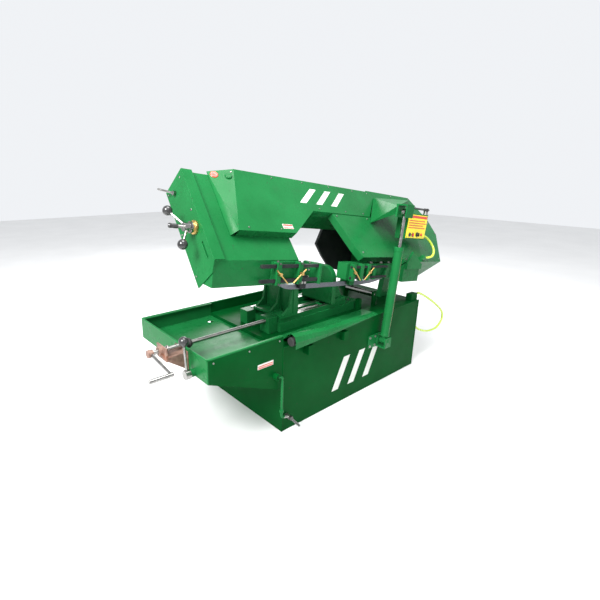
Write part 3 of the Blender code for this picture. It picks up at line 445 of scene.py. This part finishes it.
def rounded_copy(node, width):
    """The CAD node's own shape with its edges rounded off, as rolled sheet and castings have."""
    bm = bmesh.new()
    bm.from_mesh(NODES[node].data)
    bmesh.ops.remove_doubles(bm, verts=bm.verts, dist=0.00001)
    bmesh.ops.dissolve_limit(bm, angle_limit=math.radians(0.6), verts=bm.verts, edges=bm.edges)
    slot = "green_paint" if REPAINTED.get(node) is GREEN else SLOT_OF[node]
    look = REPAINTED.get(node, LOOK_OF_SLOT[slot])
    return finish_piece(f"{node}_rounded", bm, look, BODY_OF[node], slot, width, replaces=[node])


def smooth_line(points, per_span):
    """Catmull-Rom curve through the route, as a list of points."""
    line = []
    last = len(points) - 1
    for i in range(last):
        before, start, end, after = (Vector(points[k]) for k in (max(i - 1, 0), i, i + 1, min(i + 2, last)))
        for k in range(per_span):
            t = k / per_span
            line.append(
                0.5
                * (
                    2 * start
                    + (end - before) * t
                    + (2 * before - 5 * start + 4 * end - after) * t**2
                    + (3 * start - before - 3 * end + after) * t**3
                )
            )
    line.append(Vector(points[-1]))
    return line


# ---------------------------------------------------------------- hoses
HOSE_R = 0.008
coolant_route = [
    (1.3815, 0.040, 0.290),
    (1.410, 0.040, 0.286),
    (1.475, 0.037, 0.245),
    (1.600, 0.033, 0.200),
    (1.740, 0.030, 0.196),
    (1.818, 0.030, 0.250),
    (1.790, 0.025, 0.330),
    (1.650, 0.020, 0.425),
    (1.500, 0.025, 0.510),
    (1.410, 0.035, 0.553),
    (1.375, 0.035, 0.556),
    (1.3460, 0.035, 0.556),
]
bow_route = [
    (0.1008, 0.075, 0.322),
    (0.132, 0.075, 0.322),
    (0.175, 0.060, 0.308),
    (0.205, 0.030, 0.268),
    (0.205, 0.000, 0.220),
    (0.175, -0.010, 0.180),
    (0.128, 0.004, 0.167),
    (0.0908, 0.005, 0.167),
]
for hose_node, route, matrix in (("coolant_hose", coolant_route, CAB), ("bow_hose", bow_route, BOW)):
    line = [matrix @ point for point in smooth_line(route, 3)]
    curve = bpy.data.curves.new(f"{hose_node}_line", "CURVE")
    curve.dimensions = "3D"
    curve.bevel_depth = HOSE_R
    curve.bevel_resolution = 6
    curve.use_fill_caps = True
    spline = curve.splines.new("POLY")
    spline.points.add(len(line) - 1)
    for spline_point, place in zip(spline.points, line):
        spline_point.co = (*place, 1)
    curve.materials.append(HOSE)
    hose = bpy.data.objects.new(f"{hose_node}_line", curve)
    SCENE.collection.objects.link(hose)
    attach(hose, BODY_OF[hose_node])
    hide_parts(hose_node)

# ---------------------------------------------------------------- CAD shapes with rounded edges
SCREW_Y_ROW = JOINTS["vice_screw_turn"]["pos_m"][1]
BUSH_R = 0.02
BUSH_LEFT = -1.333
APRON_FACE_Y = 0.002 - BASE_Y / 2
ARM_PLATE_X = (BOW @ Vector((-0.991, 0, 0))).x


def in_bush(centre):
    """True on the worn bush that the vice screw turns in."""
    return abs(centre.y - SCREW_Y_ROW) < BUSH_R and centre.x > BUSH_LEFT


for node, width in {
    "base_cabinet": 0.003,
    "coolant_tray": 0.0018,
    "rear_access_door": 0.002,
    "rail_block_front": 0.003,
    "fixed_jaw": 0.003,
    "moving_jaw": 0.003,
    "cylinder_clevis": 0.0015,
    "pivot_pedestal_front": 0.003,
    "pivot_pedestal_rear": 0.003,
    "idler_case": 0.003,
    "idler_end_cover": 0.0022,
    "rear_wheel_door": 0.0015,
    "beam_tube": 0.003,
    "beam_cover": 0.0012,
    "drive_case": 0.003,
    "bow_column": 0.0015,
    "cylinder_bracket": 0.002,
    "pivot_tube": 0.002,
    "arm_clamp": 0.002,
    "right_guide_box": 0.002,
    "chip_brush_guard": 0.002,
    "control_box": 0.003,
    "control_panel": 0.001,
    "cylinder_barrel": 0.001,
    "rear_brace": 0.002,
    "guide_arm": 0.0015,
    "vice_bed": 0.0015,
    "gearbox": 0.004,
    "screw_bracket": 0.0012,
    "fixed_jaw_face": 0.001,
    "moving_jaw_face": 0.001,
    "offcut_chute": 0.0008,
    "cylinder_rod": 0.001,
    "crank_handle": 0.001,
    "tension_handle": 0.001,
    "ball_lever": 0.001,
    "cover_latch": 0.001,
    "outfeed_roller": 0.001,
    "chute_roller": 0.002,
    "tension_hub": 0.001,
    "valve_post": 0.001,
    "feed_valve_handle": 0.0012,
    "drain_lever": 0.001,
    "drain_cock": 0.001,
    "coolant_fitting": 0.001,
    "clamp_lever_left": 0.0008,
    "clamp_lever_right": 0.0008,
    "start_button": 0.001,
    "stop_button": 0.001,
    "screw_boot": 0.0008,
}.items():
    rounded = rounded_copy(node, width)
    if node == "coolant_tray":
        # The tray's front faces take the darker cabinet green, partly painted shade on the front of the tray.
        two_looks(rounded, CABINET_GREEN_AND_SHADE, lambda centre: centre.y < APRON_FACE_Y)
    if node == "guide_arm":
        two_looks(rounded, GREEN, lambda centre: centre.x > ARM_PLATE_X)
    if node == "crank_handle":
        two_looks(rounded, BROWN, in_bush)

# ---------------------------------------------------------------- cabinet and tray details
RIM_LEFT = -0.4705
RIM_Z = 0.5865
RIM_R = 0.005
RIM_INSET = 0.004


@piece(GREEN, "cabinet", "green_paint")
def tray_rolled_rim(bm):
    """Rolled edge round the top of the tray, and its front left corner."""
    for y in (RIM_INSET, BASE_Y - RIM_INSET):
        add_tube(bm, [(RIM_LEFT + 0.0025, y, RIM_Z), (-0.002, y, RIM_Z)], RIM_R, CAB)
    add_tube(bm, [(RIM_LEFT, RIM_INSET, RIM_Z), (RIM_LEFT, BASE_Y - RIM_INSET, RIM_Z)], RIM_R, CAB)
    corner_x = RIM_LEFT - 0.0005
    add_tube(bm, [(corner_x, 0.002, 0.467), (corner_x, 0.002, RIM_Z - 0.0005)], 0.004, CAB)


@piece(CABINET_GREEN_AND_SHADE, "cabinet", "green_paint")
def cabinet_corner_welds(bm):
    """Weld beads on the cabinet's front corners and top edge."""
    weld_r = 0.0035
    for corner_x in (0.0, BASE_X):
        add_tube(bm, [(corner_x, 0.0, 0.002), (corner_x, 0.0, BASE_Z - 0.001)], weld_r, CAB)
    add_tube(bm, [(0.0, 0.0, BASE_Z), (BASE_X, 0.0, BASE_Z)], weld_r, CAB)


@piece(WHITE, "cabinet", "green_paint")
def cabinet_stripes(bm):
    """Three plain slanted stripes on the cabinet front."""
    add_stripes(
        bm, first=0.42, pitch=0.155, wide=0.06, lean=0.10, low=0.10, high=0.31, face_y=0.0, matrix=CAB
    )


@piece(WHITE, "cabinet", "green_paint", bevel=0.0003)
def apron_plate(bm):
    """Small plain plate on the tray apron."""
    add_box(bm, (-0.175, -0.0008, 0.445), (-0.07, 0.001, 0.472), CAB)


@piece(LABEL_RED, "cabinet", "green_paint")
def apron_plate_bars(bm):
    """Two coloured bars on the apron plate."""
    for low in (0.4475, 0.4575):
        add_box(bm, (-0.172, -0.0012, low), (-0.073, -0.0004, low + 0.006), CAB)


@piece(STEEL, "cabinet", "bright_steel")
def cabinet_bolts(bm):
    """Bolts of the tray, clevis, right end, rear door and screw bracket."""
    for x in (-0.440, -0.230, -0.030):
        add_cap(bm, (x, -0.0005, 0.567), FRONT, 0.0045, 0.004, CAB)
    for x in (0.775, 0.83):
        for z in (0.31, 0.37):
            add_hex(bm, (x, -0.006, z), FRONT, 0.0065, 0.006, CAB)
    for y in (0.11, 0.61):
        for z in (0.12, 0.40):
            add_hex(bm, (BASE_X, y, z), RIGHT, 0.007, 0.006, CAB)
    for x in (0.33, 0.675, 1.02):
        add_cap(bm, (x, BASE_Y + 0.0085, 0.445), REAR, 0.005, 0.004, CAB)
    for y in (0.180, 0.20, 0.27, 0.29):
        add_hex(bm, (-0.4785, y, 0.485), LEFT, 0.005, 0.005, CAB)


@piece(IRON, "cabinet", "cast_iron")
def vice_bolts(bm):
    """Bolts that hold the pedestals, the vice bed and the fixed jaw."""
    for y_low in (0.215, 0.576):
        for x in (1.205, 1.295):
            add_hex(bm, (x, y_low + 0.02, BASE_Z + 0.001), UP, 0.009, 0.012, CAB)
    for x in (0.60, 0.66, 0.80):
        for y in (0.215, 0.375, 0.475):
            foot_z = 0.63 if x < 0.7 and y < 0.4 else 0.575
            add_cap(bm, (x, y, foot_z), UP, 0.007, 0.007, CAB)
    for y in (0.20, 0.375):
        for z in (0.64, 0.735):
            add_cap(bm, (0.59, y, z), RIGHT, 0.006, 0.006, CAB)


@piece(STEEL, "cabinet", "bright_steel", bevel=0.0003)
def way_strips(bm):
    """Ground strips on the vice ways, each side of their slots."""
    left = 0.131
    half_slot = 0.0035
    for low, high in ((0.175, 0.205), (0.255, 0.285), (0.40, 0.46)):
        middle = (low + high) / 2
        for start, end in ((low + 0.001, middle - half_slot), (middle + half_slot, high - 0.001)):
            add_box(bm, (left, start, 0.6046), (0.545, end, 0.6054), CAB)
            add_box(bm, (left, start, 0.604), (0.222, end, 0.6052), CAB)


@piece(GREEN, "cabinet", "green_paint")
def drain_pipe(bm):
    """Bent pipe from the tray apron down to the drain cock."""
    drop = [
        (-0.055, -0.022, 0.372),
        (-0.040, -0.024, 0.371),
        (-0.029, -0.024, 0.362),
        (-0.024, -0.024, 0.345),
        (-0.024, -0.024, 0.200),
        (-0.023, -0.024, 0.135),
        (-0.016, -0.023, 0.117),
        (-0.002, -0.022, 0.112),
    ]
    pipe_r = 0.0075
    add_tube(bm, smooth_line(drop, 4), pipe_r, CAB, 14)
    nut = [(pipe_r, 0), (0.012, 0), (0.012, 0.016), (pipe_r, 0.016)]
    add_lathe(bm, nut, (-0.024, -0.024, 0.15), (-0.024, -0.024, 1), 16, CAB)


@piece(GREEN, "cabinet", "green_paint")
def rear_rim(bm):
    """Rolled edge along the cabinet's rear rim."""
    y = BASE_Y - 0.0035
    add_tube(bm, [(0.0, y, RIM_Z), (1.158, y, RIM_Z)], RIM_R, CAB)


@piece(CABINET_GREEN_AND_SHADE, "cabinet", "green_paint", bevel=0.002)
def end_louvres(bm):
    """Louvres on the right end of the cabinet."""
    for row in range(6):
        z = 0.17 + 0.035 * row
        outline = [(0.30, z), (0.46, z), (0.455, z + 0.014), (0.305, z + 0.014)]
        add_plate(bm, outline, "x", BASE_X, BASE_X + 0.006, CAB)


@piece(GREEN, "rear_access_door", "green_paint", bevel=0.002)
def door_louvres(bm):
    """Louvres on the rear access door."""
    for row in range(5):
        z = 0.15 + 0.03 * row
        add_box(bm, (0.55, BASE_Y + 0.008, z), (0.80, BASE_Y + 0.014, z + 0.012), CAB)


# ---------------------------------------------------------------- vice screw with its thread
SCREW_Y = 0.23
SCREW_Z = 0.590
SCREW_R = 0.0115
PLAIN_LEFT = -0.56
PLAIN_RIGHT = 0.495
THREAD_PITCH = 0.006
THREAD_DEPTH = 0.0016
THREAD_SIDES = 16
THREAD_STEPS = 4
SCREW_LEFT = -0.630
SCREW_RIGHT = 0.505
RING_COUNT = int((SCREW_RIGHT - SCREW_LEFT) / THREAD_PITCH * THREAD_STEPS) + 1


@piece(STEEL, "vice_screw", "bright_steel", sharp=60, replaces=["lead_screw"])
def threaded_screw(bm):
    """Vice screw with a thread, a plain end and a collar."""
    rings = []
    for i in range(RING_COUNT):
        x = SCREW_LEFT + (SCREW_RIGHT - SCREW_LEFT) * i / (RING_COUNT - 1)
        ring = []
        for k in range(THREAD_SIDES):
            a = 2 * math.pi * k / THREAD_SIDES
            phase = (x / THREAD_PITCH + k / THREAD_SIDES) % 1.0
            plain = x < PLAIN_LEFT or x > PLAIN_RIGHT
            radius = SCREW_R if plain else SCREW_R - THREAD_DEPTH * abs(2 * phase - 1)
            point = Vector((x, SCREW_Y + radius * math.cos(a), SCREW_Z + radius * math.sin(a)))
            ring.append(bm.verts.new(CAB @ point))
        rings.append(ring)
    for here, there in zip(rings, rings[1:]):
        for k in range(THREAD_SIDES):
            j = (k + 1) % THREAD_SIDES
            bm.faces.new((here[k], here[j], there[j], there[k]))
    bm.faces.new(rings[0])
    bm.faces.new(rings[-1])
    add_rod(bm, (-0.5585, SCREW_Y, SCREW_Z), (-0.5505, SCREW_Y, SCREW_Z), 0.018, CAB)


# ---------------------------------------------------------------- knobs and grips
KNOB_R = 0.0246


@piece(BLACK, "ball_lever", "black_plastic")
def lever_knob(bm):
    """Ball on the tray lever."""
    add_ball(bm, (-0.513, 0.139, 0.648), KNOB_R, (0, 0.11, 1), CAB)


HUB_Y = 0.04
ARM_RISE = 0.05
arm_hub = Vector((CASE_LEFT - 0.05, HUB_Y, WHEEL_Z))
tilt = math.radians(42)


def handle_ball(angle_deg, reach):
    """Centre of a tension handle's ball, for an arm at this angle seen along the bow."""
    y = math.cos(math.radians(angle_deg))
    z = math.sin(math.radians(angle_deg))
    across = Vector((0, y * math.cos(tilt) - z * math.sin(tilt), y * math.sin(tilt) + z * math.cos(tilt)))
    return arm_hub + Vector((-ARM_RISE, 0, 0)) + across * reach


@piece(BLACK, "tension_handle", "black_plastic")
def tension_knobs(bm):
    """Balls and short grip of the tension handle."""
    for angle_deg, reach in ((31, 0.125), (232, 0.095)):
        centre = handle_ball(angle_deg, reach)
        add_ball(bm, centre, KNOB_R, centre - arm_hub, CASE)
    grip_start = arm_hub + Vector((-0.045, 0.0025, 0.003))
    grip_end = arm_hub + Vector((-0.088, 0.0104, 0.0125))
    grip = [(0, 0), (0.0095, 0.0), (0.0115, 0.008), (0.0105, 0.028)]
    grip += [(0.0125, 0.040), (0.009, 0.046), (0, 0.047)]
    add_lathe(bm, grip, grip_start, grip_end, 20, CASE)


@piece(CHROME, "bow", "chrome")
def hub_ring(bm):
    """Bright ring round the tension hub."""
    start = Vector((CASE_LEFT - 0.036, HUB_Y, WHEEL_Z))
    ring = [(0.022, -0.006), (0.0285, -0.006), (0.0285, 0.001), (0.022, 0.001)]
    add_lathe(bm, ring, start, start - Vector((1, 0, 0)), 28, CASE)


# ---------------------------------------------------------------- bow covers
COVER_Y = -0.05
COVER_EDGE_Y = -0.004
COVER_TOP = 0.545
COVER_LOW = 0.14
DRIVE_FACE_Y = -0.0455
facet_a = Vector((-1.36, COVER_Y, COVER_TOP))
facet_b = Vector((-1.505, COVER_EDGE_Y, COVER_TOP))
facet_c = Vector((-1.488, COVER_Y, COVER_LOW))
facet_d = Vector((-1.512, COVER_EDGE_Y, COVER_LOW))
facet_normal = (facet_b - facet_a).cross(facet_c - facet_a).normalized()
if facet_normal.y > 0:
    facet_normal = -facet_normal


def on_facet(along, down):
    """Point on the cover's slanted left facet; along runs to its outer edge, down to its lower end."""
    upper = facet_a.lerp(facet_b, along)
    lower = facet_c.lerp(facet_d, along)
    return upper.lerp(lower, down)


@piece(STEEL, "bow", "bright_steel")
def bow_screws(bm):
    """Cap screws of the bow's covers and cases."""
    for along, down in ((0.12, 0.05), (0.55, 0.30), (0.55, 0.48), (0.45, 0.72)):
        add_cap(bm, on_facet(along, down), facet_normal, *CASE_CAP, CASE)
    top_row = [(x, 0.525) for x in (-1.10, -0.85, -0.60, -0.35, -0.18)]
    low_rows = [(-0.80, 0.33), (-0.55, 0.33), (-0.36, 0.33), (-1.42, 0.16), (-1.20, 0.16)]
    for x, z in top_row + low_rows:
        add_cap(bm, (x, COVER_Y, z), FRONT, *COVER_CAP, CASE)
    drive_front = [(-0.14, 0.54), (0.15, 0.54), (0.40, 0.54), (0.51, 0.33), (0.51, 0.21)]
    for x, z in drive_front + [(0.33, -0.035), (-0.13, -0.035)]:
        add_cap(bm, (x, DRIVE_FACE_Y, z), FRONT, *CASE_CAP, CASE)
    for y, z in ((0.02, 0.50), (0.16, 0.50), (0.16, 0.25), (0.16, 0.01), (0.02, 0.30)):
        add_cap(bm, (CASE_LEFT - 0.0065, y, z), LEFT, 0.0048, 0.004, CASE)
    for x in (-1.62, -1.386, -1.15):
        add_cap(bm, (x, CASE_DEPTH + 0.0055, 0.03), REAR, *CASE_CAP, CASE)
    for x in (0.02, 0.25, 0.40):
        for z in (0.52, 0.02):
            add_cap(bm, (x - 0.05, CASE_DEPTH, z), REAR, *CASE_CAP, CASE)
    for x, z in ((-0.66, 0.29), (-0.34, 0.29), (-0.18, 0.02), (-0.58, 0.02)):
        add_cap(bm, (x, DRIVE_FACE_Y - 0.0005, z), FRONT, *CASE_CAP, CASE)


@piece(RED, "bow", "green_paint")
def cover_plug(bm):
    """Red plug at the top of the slanted facet."""
    plug = on_facet(0.78, 0.07)
    dome = [(0.022, 0), (0.022, 0.004), (0.019, 0.007), (0.006, 0.0075), (0, 0.006)]
    add_lathe(bm, dome, plug, plug + facet_normal, 28, CASE)


@piece(GREEN, "bow", "green_paint")
def cover_boss(bm):
    """Round boss beside the plug."""
    boss = on_facet(0.24, 0.12)
    button = [(0.020, 0), (0.020, 0.006), (0.016, 0.009), (0, 0.009)]
    add_lathe(bm, button, boss, boss + facet_normal, 28, CASE)


@piece(WHITE, "bow", "green_paint", bevel=0.0003)
def cover_plate(bm):
    """Small plain plate on the beam cover."""
    add_box(bm, (-1.18, COVER_Y - 0.0008, 0.165), (-1.105, COVER_Y + 0.0005, 0.195), CASE)


@piece(LABEL_RED, "bow", "green_paint")
def cover_plate_bars(bm):
    """Two coloured bars on the cover plate."""
    for low, high in ((0.183, 0.192), (0.168, 0.173)):
        add_box(bm, (-1.177, COVER_Y - 0.0014, low), (-1.108, COVER_Y - 0.0004, high), CASE)


@piece(WHITE, "bow", "green_paint")
def beam_stripes(bm):
    """Three plain slanted stripes on the beam cover."""
    add_stripes(
        bm, first=-0.95, pitch=0.14, wide=0.055, lean=0.15, low=0.365, high=0.485, face_y=COVER_Y, matrix=CASE
    )


# ---------------------------------------------------------------- blade teeth
GUIDE_Y = 0.125
GUIDE_Z = -0.0155
BLADE_WIDE = 0.027
TOOTH_PITCH = 0.006
TOOTH_DEPTH = 0.0022
TOOTH_HALF_THICK = 0.0006
TEETH_LEFT = -1.10
TEETH_RIGHT = -0.42


@piece(BLADE, "bow", "bright_steel")
def blade_teeth(bm):
    """Saw teeth on the run between the guides."""
    tip = GUIDE_Z - BLADE_WIDE / 2 - TOOTH_DEPTH
    root = GUIDE_Z - BLADE_WIDE / 2 + 0.0006
    for k in range(int((TEETH_RIGHT - TEETH_LEFT) / TOOTH_PITCH)):
        x = TEETH_LEFT + TOOTH_PITCH * k
        outline = [(x, root), (x + TOOTH_PITCH * 0.85, root), (x, tip)]
        add_plate(bm, outline, "y", GUIDE_Y - TOOTH_HALF_THICK, GUIDE_Y + TOOTH_HALF_THICK, BOW)


NODES["saw_blade"].data.materials.clear()
NODES["saw_blade"].data.materials.append(BLADE)


# ---------------------------------------------------------------- guides and their clamps
@piece(IRON, "bow", "cast_iron")
def clamp_screws(bm):
    """Screws of the guide arm's clamp."""
    for x in (-1.29, -1.135):
        for z in (0.030, 0.136):
            add_hex(bm, (x, 0.022, z), FRONT, 0.006, 0.006, BOW, washer=False)
    for x in (-1.29, -1.135):
        add_cap(bm, (x, 0.04, 0.142), UP, 0.007, 0.007, BOW)


@piece(STEEL, "guide_arm", "bright_steel")
def left_guide_rollers(bm):
    """Bolts, rollers and top screw of the left blade guide."""
    for z in (0.045, 0.085, 0.13):
        add_cap(bm, (-0.990, 0.10, z), LEFT, 0.006, 0.006, BOW)
    for x in (-1.032, -1.008):
        add_rod(bm, (x, GUIDE_Y - 0.024, 0.012), (x, GUIDE_Y - 0.019, 0.012), 0.009, BOW)
    add_cap(bm, (-1.02, GUIDE_Y, 0.05), UP, 0.008, 0.008, BOW)


@piece(DARK, "bow", "dark_paint", bevel=0.0015)
def right_guide_bars(bm):
    """Two dark bars along the right guide."""
    for low, high in ((0.100, 0.114), (0.034, 0.048)):
        add_box(bm, (-0.70, 0.024, low), (-0.32, 0.038, high), BOW)


@piece(GREEN, "bow", "green_paint", bevel=0.002)
def right_guide_posts(bm):
    """Posts that carry the right guide's bars."""
    for x in (-0.68, -0.60, -0.53):
        add_box(bm, (x - 0.014, 0.016, 0.022), (x + 0.014, 0.046, 0.126), BOW)


@piece(BRASS, "bow", "brass")
def right_guide_levers(bm):
    """Two brass clamping levers of the right guide."""
    for x, lean in ((-0.68, 1), (-0.53, -1)):
        add_rod(bm, (x, 0.016, 0.076), (x, 0.002, 0.076), 0.009, BOW)
        top = (x - 0.030 * lean, 0.006, 0.105)
        foot = (x + 0.055 * lean, 0.006, 0.030)
        add_rod(bm, top, foot, 0.004, BOW, edge=0.001)


@piece(STEEL, "bow", "bright_steel")
def right_guide_bolts(bm):
    """Bolts and rollers of the right blade guide."""
    for x in (-0.44, -0.33, -0.24):
        add_hex(bm, (x, 0.075, 0.122), UP, 0.009, 0.010, BOW)
    for x in (-0.592, -0.558):
        add_rod(bm, (x, GUIDE_Y - 0.024, 0.012), (x, GUIDE_Y - 0.019, 0.012), 0.009, BOW)


# ---------------------------------------------------------------- controls
PANEL_Y = 0.030
PANEL_LEFT = -0.148
PANEL_RIGHT = 0.081
BUTTON_Z = 0.322
SWITCH_Z = 0.326


@piece(RED, "bow", "yellow_panel")
def panel_bars(bm):
    """Plain bars in place of the panel's text."""
    back_y = PANEL_Y + 0.0002
    add_box(bm, (PANEL_LEFT, PANEL_Y - 0.0012, 0.436), (PANEL_RIGHT, back_y, 0.452), BOW)
    for row, right in enumerate((0.06, 0.075, 0.04, 0.07)):
        z = 0.415 - 0.016 * row
        add_box(bm, (PANEL_LEFT + 0.003, PANEL_Y - 0.0010, z), (right, back_y, z + 0.006), BOW)


@piece(CHROME, "bow", "chrome")
def button_rings(bm):
    """Bright rings round the two push buttons."""
    for x in (-0.115, -0.075):
        ring = [(0.0112, 0), (0.0150, 0), (0.0150, 0.003), (0.0112, 0.003)]
        add_lathe(bm, ring, (x, PANEL_Y, BUTTON_Z), (x, -1, BUTTON_Z), 28, BOW)


@piece(BLACK, "bow", "black_plastic", bevel=0.0008)
def panel_switch(bm):
    """Turn switch on the panel."""
    knob = [(0.016, 0), (0.016, 0.004), (0.011, 0.005), (0.010, 0.016), (0, 0.017)]
    add_lathe(bm, knob, (-0.02, PANEL_Y, SWITCH_Z), (-0.02, -1, SWITCH_Z), 24, BOW)
    add_box(bm, (-0.023, 0.010, 0.314), (-0.017, 0.022, 0.338), BOW)


@piece(RED, "bow", "yellow_panel")
def panel_lamp(bm):
    """Red lamp on the panel."""
    lens = [(0.009, 0), (0.009, 0.003), (0.007, 0.008), (0, 0.010)]
    add_lathe(bm, lens, (0.035, PANEL_Y, SWITCH_Z), (0.035, -1, SWITCH_Z), 20, BOW)


@piece(STEEL, "bow", "bright_steel")
def panel_screws(bm):
    """Corner screws of the panel, and the hose nut on its box."""
    for x in (PANEL_LEFT, PANEL_RIGHT):
        for z in (0.3065, 0.4515):
            add_cap(bm, (x, PANEL_Y, z), FRONT, 0.0035, 0.0025, BOW)
    nut = [(0.014, 0), (0.014, 0.008), (0.011, 0.010), (0.011, 0.018), (0.0085, 0.022)]
    add_lathe(bm, nut, (0.10, 0.075, BUTTON_Z), (1.1, 0.075, BUTTON_Z), 20, BOW)


# ---------------------------------------------------------------- motor and gearbox
MOTOR_Y = 0.27
MOTOR_Z = 0.20
MOTOR_LEFT = 0.2655
FIN_COUNT = 28


@piece(DARK, "bow", "dark_paint", bevel=0.0008, replaces=["drive_motor"])
def finned_motor(bm):
    """Motor with end bells, cooling fins, fan cowl and terminal box."""
    flange = [(0, 0), (0.085, 0), (0.085, 0.016), (0.066, 0.020)]
    cowl = [(0.066, 0.200), (0.0755, 0.202), (0.0755, 0.235), (0.062, 0.254), (0.040, 0.2545), (0, 0.2545)]
    start = (MOTOR_LEFT, MOTOR_Y, MOTOR_Z)
    add_lathe(bm, flange + cowl, start, (MOTOR_LEFT + 1, MOTOR_Y, MOTOR_Z), 40, CASE)
    for k in range(FIN_COUNT):
        a = 2 * math.pi * k / FIN_COUNT
        under_terminal_box = math.cos(a - math.pi / 2) > 0.92
        if under_terminal_box:
            continue
        matrix = CASE @ Matrix.Translation((0, MOTOR_Y, MOTOR_Z)) @ Matrix.Rotation(a, 4, "X")
        add_box(bm, (0.290, 0.064, -0.0014), (0.462, 0.0765, 0.0014), matrix)
    add_box(bm, (0.315, MOTOR_Y - 0.04, MOTOR_Z + 0.062), (0.395, MOTOR_Y + 0.04, MOTOR_Z + 0.094), CASE)


@piece(STEEL, "bow", "bright_steel")
def gearbox_bolts(bm):
    """Bolts of the gearbox, its filler plug and the rear brace."""
    for x in (0.092, 0.248):
        for z in (0.132, 0.288):
            add_hex(bm, (x, 0.355, z), REAR, 0.008, 0.008, CASE)
    cap_r = 0.038
    for k in range(6):
        a = 2 * math.pi * k / 6
        at = (DRIVE_X + cap_r * math.cos(a), 0.368, WHEEL_Z + cap_r * math.sin(a))
        add_hex(bm, at, REAR, 0.005, 0.005, CASE)
    add_hex(bm, (0.11, 0.27, 0.305), UP, 0.011, 0.012, CASE)
    for x in (-0.38, -0.20, -0.02):
        add_hex(bm, (x, 0.568, 0.20), REAR, 0.010, 0.009, BOW)


# ---------------------------------------------------------------- lift cylinder fittings
low_pin = Vector(JOINTS["cylinder_tilt"]["pos_m"])
lift_axis = Vector(JOINTS["cylinder_extend"]["axis"]).normalized()
PORTS = (0.075, 0.585)


def on_lift(distance, offset=(0, 0, 0)):
    """Point at this distance up the cylinder from its lower pin."""
    return low_pin + lift_axis * distance + Vector(offset)


@piece(GREEN, "cylinder_barrel", "green_paint")
def cylinder_collars(bm):
    """End collars of the lift cylinder."""
    inner = 0.0286
    outer = 0.0305
    for start, end in ((0.030, 0.046), (0.600, 0.6275)):
        long = end - start
        collar = [(inner, 0), (outer, 0.002), (outer, long - 0.002), (inner, long)]
        add_lathe(bm, collar, on_lift(start), on_lift(1), 32)


@piece(BRASS, "cylinder_barrel", "brass")
def cylinder_ports(bm):
    """Port fittings of the lift cylinder."""
    for distance in PORTS:
        foot = on_lift(distance, (0.026, 0, 0))
        add_hex(bm, foot, RIGHT, 0.010, 0.012, washer=False)
        add_rod(bm, foot, foot + Vector((0.022, 0, 0)), 0.006)


@piece(COPPER, "cylinder_barrel", "brass")
def cylinder_pipe(bm):
    """Copper pipe between the two ports."""
    low_port, top_port = PORTS
    pipe = [on_lift(low_port, (0.046, 0, 0))]
    pipe += [on_lift(distance, (0.050, 0, 0)) for distance in (low_port + 0.010, 0.33, top_port - 0.010)]
    pipe.append(on_lift(top_port, (0.046, 0, 0)))
    add_tube(bm, pipe, 0.0035)


# ---------------------------------------------------------------- stage and light
FLOOR_HALF = 12.0
AIM_AT = Vector((0, 0, 0.7))
bm = bmesh.new()
bmesh.ops.create_grid(bm, x_segments=4, y_segments=4, size=FLOOR_HALF)
floor_mesh = bpy.data.meshes.new("floor")
bm.to_mesh(floor_mesh)
bm.free()
floor = bpy.data.objects.new("floor", floor_mesh)
SCENE.collection.objects.link(floor)
n = Nodes("pale_floor")
patches = n.band(n.noise(1.5, 3.0), 0.3, 0.7)
n.link(n.blend(patches, (0.74, 0.74, 0.735), (0.78, 0.78, 0.775)), n.shader.inputs["Base Color"])
n.shader.inputs["Roughness"].default_value = 0.7
floor_mesh.materials.append(n.material)

world = bpy.data.worlds.new("studio")
SCENE.world = world
world.use_nodes = True
background = world.node_tree.nodes["Background"]
background.inputs["Color"].default_value = (0.95, 0.97, 1.0, 1.0)
background.inputs["Strength"].default_value = 0.92
for light_name, place, power, size in (
    ("key", (-3.9, -0.9, 3.4), 330.0, 1.6),
    ("top", (-0.6, -0.6, 4.6), 190.0, 2.2),
    ("front", (-1.6, -4.2, 3.6), 30.0, 2.0),
    ("back", (2.6, 3.6, 2.6), 90.0, 2.4),
):
    light_data = bpy.data.lights.new(light_name, "AREA")
    light_data.energy = power
    light_data.size = size
    light = bpy.data.objects.new(light_name, light_data)
    SCENE.collection.objects.link(light)
    towards_saw = AIM_AT - Vector(place)
    aim = towards_saw.to_track_quat("-Z", "Y").to_matrix().to_4x4()
    light.matrix_world = Matrix.Translation(place) @ aim
SCENE.view_settings.view_transform = "Standard"

bpy.context.view_layer.update()
